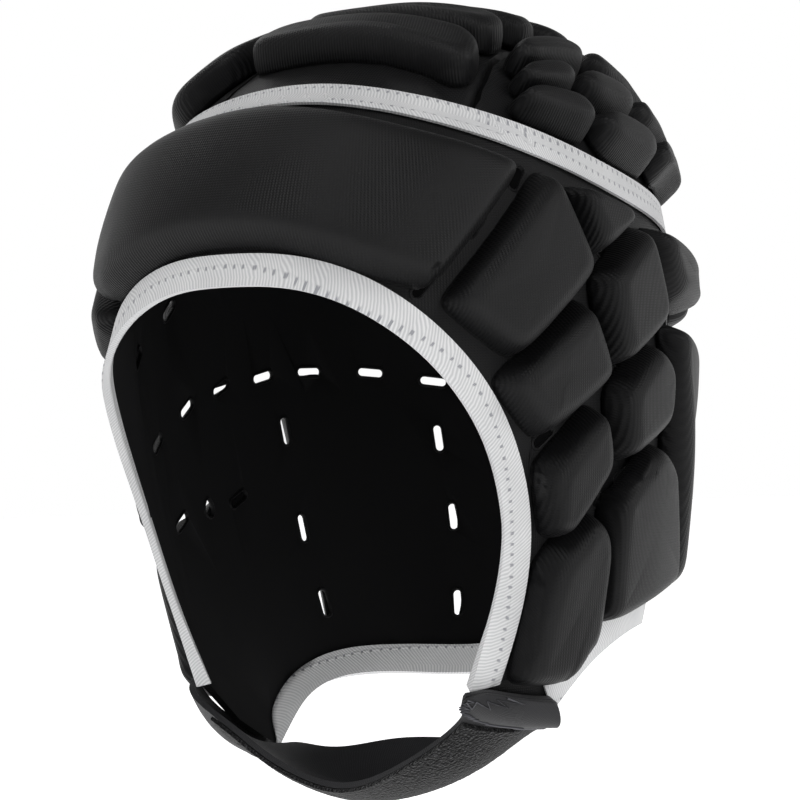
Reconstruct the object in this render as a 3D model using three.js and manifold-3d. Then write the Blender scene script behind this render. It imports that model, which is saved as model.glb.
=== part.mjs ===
// Rugby scrum cap: foam pads on a thin padded shell, bound edges and a cupped chin strap.
// Millimetres, +Z up, the wearer faces -Y and the wearer's left is +X.
// The origin is the top of the wearer's head, on the inner face of the crown.
// Bearings are in degrees from the front, positive round the wearer's left.
// Depths in the tables are shares of the side height, from the crown downwards.

import * as THREE from 'three';
import { mergeVertices } from 'three/addons/utils/BufferGeometryUtils.js';
import Module from 'manifold-3d';

const wasm = await Module();
wasm.setup();

// Head form
const HALF_WIDTH = 79.2;
const HALF_LENGTH = 98.7;
const CROWN_RISE = 97.5;
const SIDE_HEIGHT = 207;
const FORM_CENTRE = 2.1;
const CROWN_LEAN = 2.9;
const SECTION_POWER = 2.25;
const SIDE_POWER = 2.6;
const FRONT_POWER = 1.88;
const BACK_POWER = 2.97;

// Walls, pads and trims
const SHELL_THICKNESS = 2.5;
const PAD_HEIGHT = 10.5;
const PAD_SLOPE = 5.2;
const CROWN_PAD_SLOPE = 2.4;
const PAD_SHOULDER = 1.6;
const SHOULDER_RUN = 0.72;
const PAD_CORNER_RADIUS = 4.2;
const LEAST_PAD_TOP = 0.35;
const MOST_TRIM = 0.4;
const PAD_CLEARANCE = 0.76;
const CROWN_PAD_CLEARANCE = 1;
const PAD_SPREAD = 1.3;
const TRIM_CLEARANCE = 0.35;
const TAPE_WIDTH = 9.5;
const TAPE_CLEARANCE = 0.6;
const TAPE_MARGIN = 0.5;
const TAPE_THICKNESS = 1;
const BINDING_WIDTH = 8.4;
const BINDING_THICKNESS = 0.9;
const BINDING_END_GAP = 0.02;
const HEM_MARGIN = 4.4;
const LEFT_FACE_MARGIN = 4.4;
const RIGHT_FACE_MARGIN = 7.5;
const SEAM_GAP = 0.8;

// Vents
const VENT_LENGTH = 9.5;
const VENT_WIDTH = 3;
const EAR_VENT_SIZE = 6.4;

// Crown seams
const CROWN_SLIT_WIDTH = 2.4;
const SLIT_MARGIN = 1.6;
const CROWN_PANEL_OFFSET = 11;
const CROWN_PANEL_HALF_WIDTH = 36;

// Chin strap
const STRAP_THICKNESS = 2;
const STRAP_LAYER_THICKNESS = 1.2;
const STRAP_LAP = 4;
const CHIN_DROP = 33;
const STRAP_DROP = SIDE_HEIGHT + CHIN_DROP;
const STRAP_LAYER_CLEARANCE = 0.35;

// Sampling
const COLUMNS = 44;
const DOME_COLUMNS = 28;
const PAD_EDGE_STEP = 19;
const UNDERSIDE_STEP = 11;
const MOST_UNDER_STEPS = 5;
const STRAP_STATIONS = 20;

// The lower side closes in below its widest level: shares of the upper section by depth.
const LOWER_SECTIONS = [
  { depth: 0.459, width: 1, length: 1 },
  { depth: 0.628, width: 0.985, length: 0.957 },
  { depth: 0.821, width: 0.94, length: 0.85 },
  { depth: 1.014, width: 0.86, length: 0.657 },
  { depth: 1.16, width: 0.79, length: 0.53 },
];

// Columns of the side shell run from the tape down to the rim.
const FACE_RIM = [
  { top: 0, rim: 0, depth: 0.379 },
  { top: 12, rim: 10.5, depth: 0.38 },
  { top: 23, rim: 20, depth: 0.391 },
  { top: 32, rim: 29, depth: 0.415 },
  { top: 40, rim: 37, depth: 0.452 },
  { top: 46, rim: 43.5, depth: 0.495 },
  { top: 51, rim: 48.5, depth: 0.541 },
  { top: 56, rim: 53, depth: 0.597 },
  { top: 60, rim: 56, depth: 0.665 },
  { top: 64, rim: 57.3, depth: 0.735 },
];
const LEFT_RIM = [
  { top: 68, rim: 56, depth: 0.807 },
  { top: 72, rim: 52.5, depth: 0.878 },
  { top: 76, rim: 46.5, depth: 0.975 },
  { top: 82, rim: 57, depth: 0.993 },
  { top: 88, rim: 68, depth: 1.01 },
  { top: 94, rim: 80, depth: 0.95 },
  { top: 101, rim: 91, depth: 0.922 },
  { top: 109, rim: 103, depth: 0.905 },
  { top: 118, rim: 115, depth: 0.903 },
  { top: 131, rim: 129, depth: 0.91 },
  { top: 146, rim: 145, depth: 0.925 },
  { top: 162, rim: 162, depth: 0.965 },
];
const BACK_RIM = { top: 180, rim: 180, depth: 1.002 };
const RIGHT_RIM = [
  { top: 68, rim: 61, depth: 0.81 },
  { top: 72, rim: 62.5, depth: 0.89 },
  { top: 76, rim: 65, depth: 0.995 },
  { top: 85, rim: 82, depth: 1.065 },
  { top: 93, rim: 100, depth: 1.115 },
  { top: 100, rim: 107.5, depth: 1.075 },
  { top: 108, rim: 114, depth: 1.04 },
  { top: 117, rim: 122, depth: 1.018 },
  { top: 127, rim: 131, depth: 1.009 },
  { top: 138, rim: 142, depth: 1.007 },
  { top: 150, rim: 153, depth: 1.01 },
  { top: 164, rim: 166, depth: 1.012 },
];
// The right edge of the face opening stands away from the head, by shares of its height.
const FLARE_HEIGHT = 6.5;
const FLARE_REACH = 16;
const FLARE_WEIGHTS = [
  { place: 0.2, weight: 0 },
  { place: 0.42, weight: 1 },
  { place: 0.55, weight: 0.85 },
  { place: 0.75, weight: 0.2 },
  { place: 0.9, weight: 0 },
];
const CHEEK_FRONT_ROW = 2;
const CHEEK_BACK_ROW = 4;

// The crown tape is a tilted loop: high at the forehead, low at the nape.
const TAPE_MID_DEPTH = 0.21;
const TAPE_SWING = 0.107;
const TAPE_SIDE_DIP = 0.019;

// The right rear of the cap hangs a little lower than the left, as soft foam does.
const RIGHT_SAG = 14;
const SAG_WEIGHTS = [
  { bearing: -180, weight: 0.75 },
  { bearing: -150, weight: 0.8 },
  { bearing: -115, weight: 1 },
  { bearing: -90, weight: 0.35 },
  { bearing: -70, weight: 0 },
  { bearing: 125, weight: 0 },
  { bearing: 150, weight: 0.3 },
  { bearing: 180, weight: 0.75 },
];

// Forehead pad: its upper and lower edge, from the middle to one end.
const FOREHEAD_ROWS = [
  { upper: 0, upperDepth: 0.135, lower: 0, lowerDepth: 0.327 },
  { upper: 14, upperDepth: 0.142, lower: 9, lowerDepth: 0.329 },
  { upper: 28, upperDepth: 0.16, lower: 18, lowerDepth: 0.34 },
  { upper: 41, upperDepth: 0.182, lower: 27, lowerDepth: 0.36 },
  { upper: 52, upperDepth: 0.2, lower: 35, lowerDepth: 0.383 },
  { upper: 60.5, upperDepth: 0.222, lower: 42.5, lowerDepth: 0.395 },
];

const FOREHEAD_END_HEIGHT = 3.7;
const FOREHEAD_SHOULDER_RISE = 0.86;
const FOREHEAD_TOP_RUN = 1.2;

// Side pads: corners as bearing and depth. HEM stops short of the neck binding, FACE beside
// the face binding, and TOE behind the front of the cheek.
const HEM = 'hem';
const FACE = 'face';
const TOE = 'toe';
const LEFT_TOE_BEARING = 69;
const RIGHT_TOE_BEARING = 74;
const SIDE_PADS = [
  { name: 'temple', corners: [[67, 0.232], [77.5, 0.37], [58.5, 0.492], [46, 0.418]] },
  { name: 'upper_side', corners: [[73.5, 0.253], [96, 0.289], [79, 0.35]] },
  { name: 'middle_side', corners: [[100.5, 0.305], [108, 0.44], [85, 0.51], [80.5, 0.385]] },
  { name: 'upper_rear', corners: [[107, 0.308], [138, 0.34], [137, 0.42], [112.5, 0.412]] },
  { name: 'upper_nape', corners: [[142.5, 0.345], [177.5, 0.36], [177.5, 0.455], [142, 0.43]] },
  { name: 'front_ear', corners: [[75, 0.418], [82.5, 0.524], [64, 0.607], [FACE, 0.53]] },
  { name: 'rear_ear', corners: [[102, 0.478], [109.5, 0.515], [109.5, 0.6], [90, 0.65], [86, 0.55]] },
  { name: 'lower_ear', corners: [[79.5, 0.57], [85, 0.655], [70.5, 0.75], [FACE, 0.745], [FACE, 0.655]] },
  { name: 'rear_side', corners: [[87.5, 0.71], [104, 0.628], [112, 0.665], [121.5, HEM], [85, HEM]] },
  { name: 'cheek', corners: [[FACE, 0.79], [80, 0.723], [84.5, 0.76], [82, HEM], [TOE, HEM], [FACE, 0.94]] },
  { name: 'rear', corners: [[113, 0.452], [145.5, 0.487], [157, HEM], [126.5, HEM]] },
  { name: 'nape', corners: [[151.5, 0.493], [177.5, 0.506], [177.5, HEM], [162, HEM]] },
];

// Behind the ear, the left side's pads and vents sit further forward than the right side's:
// degrees taken off their bearings, for the upper and the lower ones.
const LEFT_TURNS = [
  { bearing: 60, upper: 0, lower: 0 },
  { bearing: 75, upper: 0, lower: 3.5 },
  { bearing: 85, upper: 1, lower: 4.2 },
  { bearing: 105, upper: 6, lower: 6.5 },
  { bearing: 122, upper: 6, lower: 7 },
  { bearing: 150, upper: 7, lower: 7.5 },
  { bearing: 178, upper: 0, lower: 0 },
];
const UPPER_TURN_DEPTH = 0.5;
const LOWER_TURN_DEPTH = 0.7;

// Vents in the valleys: bearing, depth and the angle of the slot above the horizontal.
const VENTS = [
  { bearing: 42, depth: 0.391, turn: 50 },
  { bearing: 52, depth: 0.306, turn: 50 },
  { bearing: 62, depth: 0.236, turn: 50 },
  { bearing: 60.5, depth: 0.478, turn: 42 },
  { bearing: 75.5, depth: 0.396, turn: 38 },
  { bearing: 88, depth: 0.333, turn: 32 },
  { bearing: 67.5, depth: 0.612, turn: 34 },
  { bearing: 81, depth: 0.546, turn: 32 },
  { bearing: 93.5, depth: 0.497, turn: 26 },
  { bearing: 106.5, depth: 0.462, turn: 12 },
  { bearing: 119, depth: 0.445, turn: 0 },
  { bearing: 134, depth: 0.453, turn: -6 },
  { bearing: 149, depth: 0.474, turn: -8 },
  { bearing: 74, depth: 0.736, turn: 30 },
  { bearing: 97, depth: 0.676, turn: 24 },
  { bearing: 112.3, depth: 0.54, turn: 98 },
  { bearing: 116.5, depth: 0.7, turn: 98 },
  { bearing: 122.5, depth: 0.83, turn: 98 },
  { bearing: 150.5, depth: 0.57, turn: 97 },
  { bearing: 155.5, depth: 0.705, turn: 97 },
  { bearing: 159.5, depth: 0.85, turn: 97 },
];
const EAR_VENT = { bearing: 86, depth: 0.704 };

// Crown pads: the bars of the middle panel, by place from front to back.
const CROWN_BARS = [
  { name: 'front', front: -0.4, back: -0.22 },
  { name: 'top_front', front: -0.185, back: 0.005 },
  { name: 'top_back', front: 0.055, back: 0.245 },
  { name: 'upper_back', front: 0.295, back: 0.485 },
  { name: 'back', front: 0.535, back: 0.715 },
];
// The two bars behind them, where the crown turns down to the nape: depths and end bearings.
const LOW_CROWN_BARS = [
  { name: 'lower_back', upper: 0.1, lower: 0.165, left: 142.5, right: 195.5 },
  { name: 'low_back', upper: 0.19, lower: 0.26, left: 149, right: 192.5 },
];
// Half width of the middle panel along its length, as shares of its named half width.
const CROWN_PANEL_WIDTHS = [
  { place: -0.6, width: 1.22 },
  { place: -0.35, width: 1.14 },
  { place: -0.1, width: 0.95 },
  { place: 0.2, width: 0.86 },
  { place: 0.6, width: 0.86 },
  { place: 1, width: 0.92 },
];
// Side panel pads: along from front to back, and across from the slit to the tape.
const CROWN_PADS_BEHIND = [
  { name: 'outer_middle', along: [0.34, 0.61], across: [0.68, 0.98] },
  { name: 'outer_back', along: [0.66, 0.95], across: [0.68, 0.98] },
  { name: 'middle_middle', along: [0.34, 0.6], across: [0.37, 0.63] },
  { name: 'middle_back', along: [0.65, 0.94], across: [0.37, 0.63] },
  { name: 'inner_back', along: [0.53, 0.93], across: [0.06, 0.32] },
];
const LEFT_CROWN_PADS = [
  { name: 'outer_front', along: [0, 0.29], across: [0.67, 0.98] },
  { name: 'middle_front', along: [0.04, 0.29], across: [0.35, 0.61] },
  { name: 'inner_front', along: [0.09, 0.48], across: [0.06, 0.3] },
  ...CROWN_PADS_BEHIND,
];
const RIGHT_CROWN_PADS = [
  { name: 'front', along: [0.02, 0.29], across: [0.06, 0.98] },
  { name: 'inner_middle', along: [0.34, 0.48], across: [0.06, 0.32] },
  ...CROWN_PADS_BEHIND,
];
const LEFT_PANEL_ENDS = { front: -0.24, frontBearing: 64, back: 0.76, backBearing: 137 };
const RIGHT_PANEL_ENDS = { front: -0.36, frontBearing: 48, back: 0.78, backBearing: 154 };

// Chin strap: lips and cup from the left cheek to the right one.
// Across is a share of the half width, forward of the half length, down of the strap's drop.
const STRAP_STATIONS_TABLE = [
  { front: [0.58, 0.45, 0.88], back: [0.74, 0.18, 0.888], cup: 0.08 },
  { front: [0.34, 0.46, 0.936], back: [0.47, 0.09, 0.925], cup: 0.2 },
  { front: [0, 0.42, 0.978], back: [0.02, 0.07, 0.93], cup: 0.3 },
  { front: [-0.34, 0.375, 0.957], back: [-0.36, 0.03, 0.955], cup: 0.18 },
  { front: [-0.64, 0.305, 0.914], back: [-0.69, -0.06, 0.956], cup: 0.06 },
];
const LEFT_SEAM_CUP = 0.06;
const RIGHT_SEAM_CUP = 0.1;
const TAB_LENGTH = 0.2;
const TAB_FADE = 0.34;
const TAB_END_WIDTH = 0.4;
const PATCH_START = 0.235;
const PATCH_END = 0.8;

const MATERIALS = {
  pad: new THREE.MeshStandardMaterial({ color: 0x2e2e30, roughness: 0.82, metalness: 0 }),
  shell: new THREE.MeshStandardMaterial({ color: 0x1a1a1b, roughness: 0.9, metalness: 0 }),
  trim: new THREE.MeshStandardMaterial({ color: 0xececec, roughness: 0.85, metalness: 0 }),
  strap: new THREE.MeshStandardMaterial({ color: 0x232325, roughness: 0.8, metalness: 0 }),
  pile: new THREE.MeshStandardMaterial({ color: 0x161617, roughness: 1, metalness: 0 }),
};

// Small helpers

const HALF_TURN = 180;
const radians = THREE.MathUtils.degToRad;
const blend = THREE.MathUtils.lerp;

function readTable(rows, key, place, column) {
  const last = rows.length - 1;
  if (place <= rows[0][key]) return rows[0][column];
  if (place >= rows[last][key]) return rows[last][column];
  let i = 0;
  while (place > rows[i + 1][key]) i += 1;
  const share = (place - rows[i][key]) / (rows[i + 1][key] - rows[i][key]);
  return blend(rows[i][column], rows[i + 1][column], share);
}

// Smooth curve through evenly numbered rows, read at a place between 0 and the last row.
function smoothRows(values, place) {
  const last = values.length - 1;
  const i = Math.min(Math.floor(place), last - 1);
  const t = place - i;
  const p0 = values[Math.max(i - 1, 0)];
  const p1 = values[i];
  const p2 = values[i + 1];
  const p3 = values[Math.min(i + 2, last)];
  const slope1 = (p2 - p0) / 2;
  const slope2 = (p3 - p1) / 2;
  const t2 = t * t;
  const t3 = t2 * t;
  return (2 * t3 - 3 * t2 + 1) * p1 + (t3 - 2 * t2 + t) * slope1
    + (3 * t2 - 2 * t3) * p2 + (t3 - t2) * slope2;
}

// Bearing of a point of the pad and vent pattern on one side.
function patternBearing(side, bearing, depth) {
  if (side < 0) return bearing;
  const lower = THREE.MathUtils.smoothstep(depth, UPPER_TURN_DEPTH, LOWER_TURN_DEPTH);
  const upperTurn = readTable(LEFT_TURNS, 'bearing', bearing, 'upper');
  const lowerTurn = readTable(LEFT_TURNS, 'bearing', bearing, 'lower');
  return bearing - blend(upperTurn, lowerTurn, lower);
}

// Head form

const APEX = SHELL_THICKNESS;
const WIDEST_DEPTH = CROWN_RISE - APEX;

function domeShare(height, power) {
  const h = THREE.MathUtils.clamp(height, 0, 1);
  return (1 - h ** power) ** (1 / power);
}

// Outer face of the shell at a level: half width, half lengths and centre.
function sectionAt(z) {
  const depth = -z / SIDE_HEIGHT;
  const height = (z + WIDEST_DEPTH) / CROWN_RISE;
  const round = domeShare(height, SIDE_POWER);
  const upper = z >= -WIDEST_DEPTH;
  const width = upper ? round : readTable(LOWER_SECTIONS, 'depth', depth, 'width');
  const length = readTable(LOWER_SECTIONS, 'depth', depth, 'length');
  return {
    halfWidth: HALF_WIDTH * width,
    front: HALF_LENGTH * (upper ? domeShare(height, FRONT_POWER) : length),
    back: HALF_LENGTH * (upper ? domeShare(height, BACK_POWER) : length),
    centre: FORM_CENTRE + CROWN_LEAN * (upper ? 1 - round : 0),
  };
}

function surfacePoint(bearing, z) {
  const section = sectionAt(z);
  const s = Math.sin(radians(bearing));
  const c = Math.cos(radians(bearing));
  const r = (Math.abs(s) ** SECTION_POWER + Math.abs(c) ** SECTION_POWER) ** (-1 / SECTION_POWER);
  const reach = c > 0 ? section.front : section.back;
  return new THREE.Vector3(section.halfWidth * s * r, section.centre - reach * c * r, z);
}

function surfaceNormal(bearing, z) {
  const step = 0.5;
  const along = surfacePoint(bearing + step, z).sub(surfacePoint(bearing - step, z));
  const topLevel = Math.min(z + step, APEX - step / 2);
  const up = surfacePoint(bearing, topLevel).sub(surfacePoint(bearing, topLevel - 2 * step));
  return along.cross(up).normalize();
}

// A point above the shell's outer face: bearing, level and height.
function sidePoint(bearing, z, height) {
  return surfacePoint(bearing, z).addScaledVector(surfaceNormal(bearing, z), height);
}

// Level of the shell's outer face over a place in plan.
function levelOver(x, y) {
  let low = -SIDE_HEIGHT;
  let high = APEX;
  for (let i = 0; i < 40; i += 1) {
    const mid = (low + high) / 2;
    const section = sectionAt(mid);
    const dy = y - section.centre;
    const reach = dy < 0 ? section.front : section.back;
    const share = (Math.abs(x) / section.halfWidth) ** SECTION_POWER
      + (Math.abs(dy) / reach) ** SECTION_POWER;
    if (share < 1) low = mid;
    else high = mid;
  }
  return (low + high) / 2;
}

function crownPoint(x, y, height) {
  const step = 1;
  const centre = new THREE.Vector3(x, y, levelOver(x, y));
  const dx = new THREE.Vector3(2 * step, 0, levelOver(x + step, y) - levelOver(x - step, y));
  const dy = new THREE.Vector3(0, 2 * step, levelOver(x, y + step) - levelOver(x, y - step));
  return centre.addScaledVector(dx.cross(dy).normalize(), height);
}

// The tape loop and the rim

function tapeLevel(bearing) {
  const c = Math.cos(radians(bearing));
  const s = Math.sin(radians(bearing));
  return -SIDE_HEIGHT * (TAPE_MID_DEPTH - TAPE_SWING * c + TAPE_SIDE_DIP * s * s);
}

function sagAt(bearing, depth) {
  return RIGHT_SAG * readTable(SAG_WEIGHTS, 'bearing', bearing, 'weight') * Math.min(depth / 0.5, 1);
}

function rimRows(side) {
  const rows = [...FACE_RIM, ...(side > 0 ? LEFT_RIM : RIGHT_RIM), BACK_RIM];
  return rows.map((row) => ({ top: side * row.top, rim: side * row.rim, depth: row.depth }));
}

// The whole loop: from the back round the right side, the front and the left side.
const RIM_LOOP = [...rimRows(-1).reverse(), ...rimRows(1).slice(1)];
const RIM_LAST = RIM_LOOP.length - 1;
const FRONT_ROW = RIM_LAST / 2;
const LEFT_CHEEK_FRONT = FRONT_ROW + FACE_RIM.length + CHEEK_FRONT_ROW;
const LEFT_CHEEK_BACK = FRONT_ROW + FACE_RIM.length + CHEEK_BACK_ROW;
const RIGHT_CHEEK_FRONT = RIM_LAST - LEFT_CHEEK_FRONT;
const RIGHT_CHEEK_BACK = RIM_LAST - LEFT_CHEEK_BACK;

function rimAt(place) {
  const columns = ['top', 'rim', 'depth'].map((key) => RIM_LOOP.map((row) => row[key]));
  const [top, rim, depth] = columns.map((values) => smoothRows(values, place));
  return { top, rim, level: -SIDE_HEIGHT * depth };
}

// Level of the rim under a bearing, behind the cheek's front corner.
function hemLevel(bearing) {
  const side = Math.sign(bearing);
  const rows = (side > 0 ? LEFT_RIM : RIGHT_RIM).slice(CHEEK_FRONT_ROW).concat(BACK_RIM);
  return -SIDE_HEIGHT * readTable(rows, 'rim', Math.abs(bearing), 'depth');
}

// The bearing and level a length up the side shell from its rim, square to the rim.
function rimPlace(place, length) {
  const step = 0.5;
  const { rim, level } = rimAt(place);
  const before = place < step ? rimAt(place - step + RIM_LAST) : rimAt(place - step);
  const after = place > RIM_LAST - step ? rimAt(place + step - RIM_LAST) : rimAt(place + step);
  const here = surfacePoint(rim, level);
  const perDegree = surfacePoint(rim + 1, level).distanceTo(here);
  const perLevel = surfacePoint(rim, level + 1).distanceTo(here);
  const turn = THREE.MathUtils.euclideanModulo(after.rim - before.rim + HALF_TURN, 2 * HALF_TURN) - HALF_TURN;
  const run = new THREE.Vector2(turn * perDegree, (after.level - before.level) * perLevel);
  run.setLength(length);
  return { bearing: rim - run.y / perDegree, level: level + run.x / perLevel };
}

// How far the rim's right face edge stands out, at a length up the shell from the rim.
function flareAt(place, length) {
  const share = (FRONT_ROW - place) / (FRONT_ROW - RIGHT_CHEEK_FRONT);
  if (share < 0 || share > 1) return 0;
  const weight = readTable(FLARE_WEIGHTS, 'place', share, 'weight');
  return FLARE_HEIGHT * weight * Math.max(0, 1 - length / FLARE_REACH);
}

function rimPoint(place, length, height) {
  const { bearing, level } = rimPlace(place, length);
  return sidePoint(bearing, level, height + flareAt(place, length));
}

// Closed solids

function solidFrom(points, faces) {
  const geometry = new THREE.BufferGeometry();
  const flat = new Float32Array(points.length * 3);
  points.forEach((point, i) => point.toArray(flat, i * 3));
  geometry.setAttribute('position', new THREE.BufferAttribute(flat, 3));
  geometry.setIndex(faces.flat());
  geometry.computeVertexNormals();
  return geometry;
}

const splitFromFirst = ([a, b, c, d]) => [[a, b, c], [a, c, d]];
const splitFromSecond = ([a, b, c, d]) => [[a, b, d], [b, c, d]];

const runsBack = (k, size) => k >= size / 2;

// A tube of closed rings; the ends are flat unless the tube itself closes. A part of the ring
// that runs back is split the other way, so that the two faces of a wall stay parallel.
function ringTube(rings, closed, splitsBack = runsBack) {
  const points = rings.flat();
  const size = rings[0].length;
  const faces = [];
  const spans = closed ? rings.length : rings.length - 1;
  for (let i = 0; i < spans; i += 1) {
    const j = (i + 1) % rings.length;
    for (let k = 0; k < size; k += 1) {
      const n = (k + 1) % size;
      const corners = [i * size + k, j * size + k, j * size + n, i * size + n];
      faces.push(...(splitsBack(k, size) ? splitFromSecond(corners) : splitFromFirst(corners)));
    }
  }
  if (!closed) {
    for (let k = 0; k < size / 2 - 1; k += 1) {
      const mate = size - 1 - k;
      const base = (rings.length - 1) * size;
      faces.push([k, k + 1, mate - 1], [k, mate - 1, mate]);
      faces.push([base + k, base + mate - 1, base + k + 1], [base + k, base + mate, base + mate - 1]);
    }
  }
  return solidFrom(points, faces);
}

// A slab section: the same number of points under and over, joined round the edges.
function slabRing(count, under, over) {
  const ring = [];
  for (let k = 0; k <= count; k += 1) ring.push(over(k / count));
  for (let k = count; k >= 0; k -= 1) ring.push(under(k / count));
  return ring;
}

function manifoldOf(geometry) {
  const bare = geometry.clone();
  bare.deleteAttribute('normal');
  bare.deleteAttribute('uv');
  const merged = mergeVertices(bare);
  return new wasm.Manifold(new wasm.Mesh({
    numProp: 3,
    vertProperties: merged.attributes.position.array,
    triVerts: new Uint32Array(merged.index.array),
  }));
}

function geometryOf(manifold) {
  const mesh = manifold.getMesh();
  const geometry = new THREE.BufferGeometry();
  geometry.setAttribute('position', new THREE.BufferAttribute(mesh.vertProperties, 3));
  geometry.setIndex(Array.from(mesh.triVerts));
  geometry.computeVertexNormals();
  return geometry;
}

function namedMesh(name, geometry, material) {
  const mesh = new THREE.Mesh(geometry, material);
  mesh.name = name;
  return mesh;
}

// Side shell with its vents

function ventShape(length, width) {
  const shape = new THREE.Shape();
  shape.moveTo(-length / 2, -width / 2);
  shape.lineTo(length / 2, -width / 2);
  shape.lineTo(length / 2, width / 2);
  shape.lineTo(-length / 2, width / 2);
  return shape;
}

function earVentShape(size) {
  const shape = new THREE.Shape();
  shape.moveTo(-0.45 * size, 0.3 * size);
  shape.lineTo(-0.3 * size, -0.35 * size);
  shape.lineTo(0.15 * size, -0.6 * size);
  shape.lineTo(0.5 * size, 0);
  shape.lineTo(0.25 * size, 0.55 * size);
  return shape;
}

function ventCutter(shape, bearing, depth, turn) {
  const reach = 4 * SHELL_THICKNESS;
  const level = -SIDE_HEIGHT * depth - sagAt(bearing, depth);
  const normal = surfaceNormal(bearing, level);
  const along = surfacePoint(bearing + 1, level).sub(surfacePoint(bearing - 1, level)).normalize();
  const up = new THREE.Vector3().crossVectors(normal, along);
  const sideways = Math.sign(bearing);
  const angle = radians(sideways > 0 ? turn : 180 - turn);
  const slotAxis = along.clone().multiplyScalar(Math.cos(angle)).addScaledVector(up, Math.sin(angle));
  const crossAxis = new THREE.Vector3().crossVectors(normal, slotAxis);
  const place = surfacePoint(bearing, level).addScaledVector(normal, -reach / 2);
  const geometry = new THREE.ExtrudeGeometry(shape, { depth: reach, bevelEnabled: false });
  const frame = new THREE.Matrix4().makeBasis(slotAxis, crossAxis, normal).setPosition(place);
  return manifoldOf(geometry.applyMatrix4(frame));
}

function sideShell() {
  const rows = 7;
  const rings = [];
  for (let i = 0; i < COLUMNS; i += 1) {
    const place = (i / COLUMNS) * RIM_LAST;
    const lap = rimPlace(place, BINDING_WIDTH);
    const { top } = rimAt(place);
    const topLevel = tapeLevel(top) - SEAM_GAP / 2;
    const column = surfacePoint(lap.bearing, lap.level).distanceTo(surfacePoint(top, topLevel));
    const flat = (FLARE_REACH - BINDING_WIDTH) / column;
    const at = (k, height) => {
      if (k === 0) return rimPoint(place, 0, height);
      const row = k * rows;
      const share = row < 2 ? 0 : blend(flat, 1, (row - 2) / (rows - 2));
      const lift = row < 2 ? flareAt(place, BINDING_WIDTH) : 0;
      return sidePoint(blend(lap.bearing, top, share), blend(lap.level, topLevel, share), height + lift);
    };
    rings.push(slabRing(rows, (k) => at(k, -SHELL_THICKNESS), (k) => at(k, 0)));
  }
  let shell = manifoldOf(ringTube(rings, true));
  const slot = ventShape(VENT_LENGTH, VENT_WIDTH);
  const ear = earVentShape(EAR_VENT_SIZE);
  for (const side of [-1, 1]) {
    for (const vent of VENTS) {
      const bearing = side * patternBearing(side, vent.bearing, vent.depth);
      shell = shell.subtract(ventCutter(slot, bearing, vent.depth, vent.turn));
    }
    const earBearing = side * patternBearing(side, EAR_VENT.bearing, EAR_VENT.depth);
    shell = shell.subtract(ventCutter(ear, earBearing, EAR_VENT.depth, 0));
  }
  return namedMesh('side_shell', geometryOf(shell), MATERIALS.shell);
}

// Crown dome, cut into three panels by two slits

function crownDome() {
  const rows = 5;
  const outer = [];
  const inner = [];
  for (let j = 1; j <= rows; j += 1) {
    for (let i = 0; i < DOME_COLUMNS; i += 1) {
      const bearing = -HALF_TURN + (i / DOME_COLUMNS) * 2 * HALF_TURN;
      const edgeHeight = (tapeLevel(bearing) + SEAM_GAP / 2 + WIDEST_DEPTH) / CROWN_RISE;
      const level = CROWN_RISE * Math.cos(Math.acos(edgeHeight) * (j / rows)) - WIDEST_DEPTH;
      outer.push(sidePoint(bearing, level, 0));
      inner.push(sidePoint(bearing, level, -SHELL_THICKNESS));
    }
  }
  const total = rows * DOME_COLUMNS;
  const points = [...outer, ...inner, crownPoint(0, FORM_CENTRE + CROWN_LEAN, 0),
    crownPoint(0, FORM_CENTRE + CROWN_LEAN, -SHELL_THICKNESS)];
  const faces = [];
  for (let i = 0; i < DOME_COLUMNS; i += 1) {
    const n = (i + 1) % DOME_COLUMNS;
    faces.push([2 * total, i, n]);
    faces.push([2 * total + 1, total + n, total + i]);
    for (let j = 0; j < rows - 1; j += 1) {
      const a = j * DOME_COLUMNS + i;
      const b = j * DOME_COLUMNS + n;
      const c = a + DOME_COLUMNS;
      const d = b + DOME_COLUMNS;
      faces.push([a, c, d], [a, d, b]);
      faces.push([total + a, total + d, total + c], [total + a, total + b, total + d]);
    }
    const rim = (rows - 1) * DOME_COLUMNS;
    faces.push([rim + i, total + rim + i, total + rim + n], [rim + i, total + rim + n, rim + n]);
  }
  return manifoldOf(solidFrom(points, faces));
}

function slitPlace(side, place, clearance) {
  const width = readTable(CROWN_PANEL_WIDTHS, 'place', place, 'width') * CROWN_PANEL_HALF_WIDTH;
  return CROWN_PANEL_OFFSET + side * (width + clearance);
}

// Plan outline of the middle panel, from beyond the front to beyond the back.
function middlePanelBlock(clearance) {
  const places = CROWN_PANEL_WIDTHS.map((row) => row.place);
  const lengthwise = (place) => place * HALF_LENGTH * 2;
  const left = places.map((p) => new THREE.Vector2(slitPlace(1, p, clearance), p * HALF_LENGTH));
  const right = places.map((p) => new THREE.Vector2(slitPlace(-1, p, clearance), p * HALF_LENGTH));
  const end = (point, way) => new THREE.Vector2(point.x, lengthwise(way));
  const ends = [end(right[0], -1), end(left[0], -1)];
  const tails = [end(left.at(-1), 1), end(right.at(-1), 1)];
  const shape = new THREE.Shape([...ends, ...left, ...tails, ...right.reverse()]);
  const geometry = new THREE.ExtrudeGeometry(shape, { depth: 2 * SIDE_HEIGHT, bevelEnabled: false });
  geometry.translate(0, 0, -SIDE_HEIGHT);
  return manifoldOf(geometry);
}

function sideBlock(side) {
  const size = 4 * HALF_LENGTH;
  const box = new THREE.BoxGeometry(size, size, size);
  box.translate((side * size) / 2 + CROWN_PANEL_OFFSET, 0, 0);
  return manifoldOf(box);
}

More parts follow.
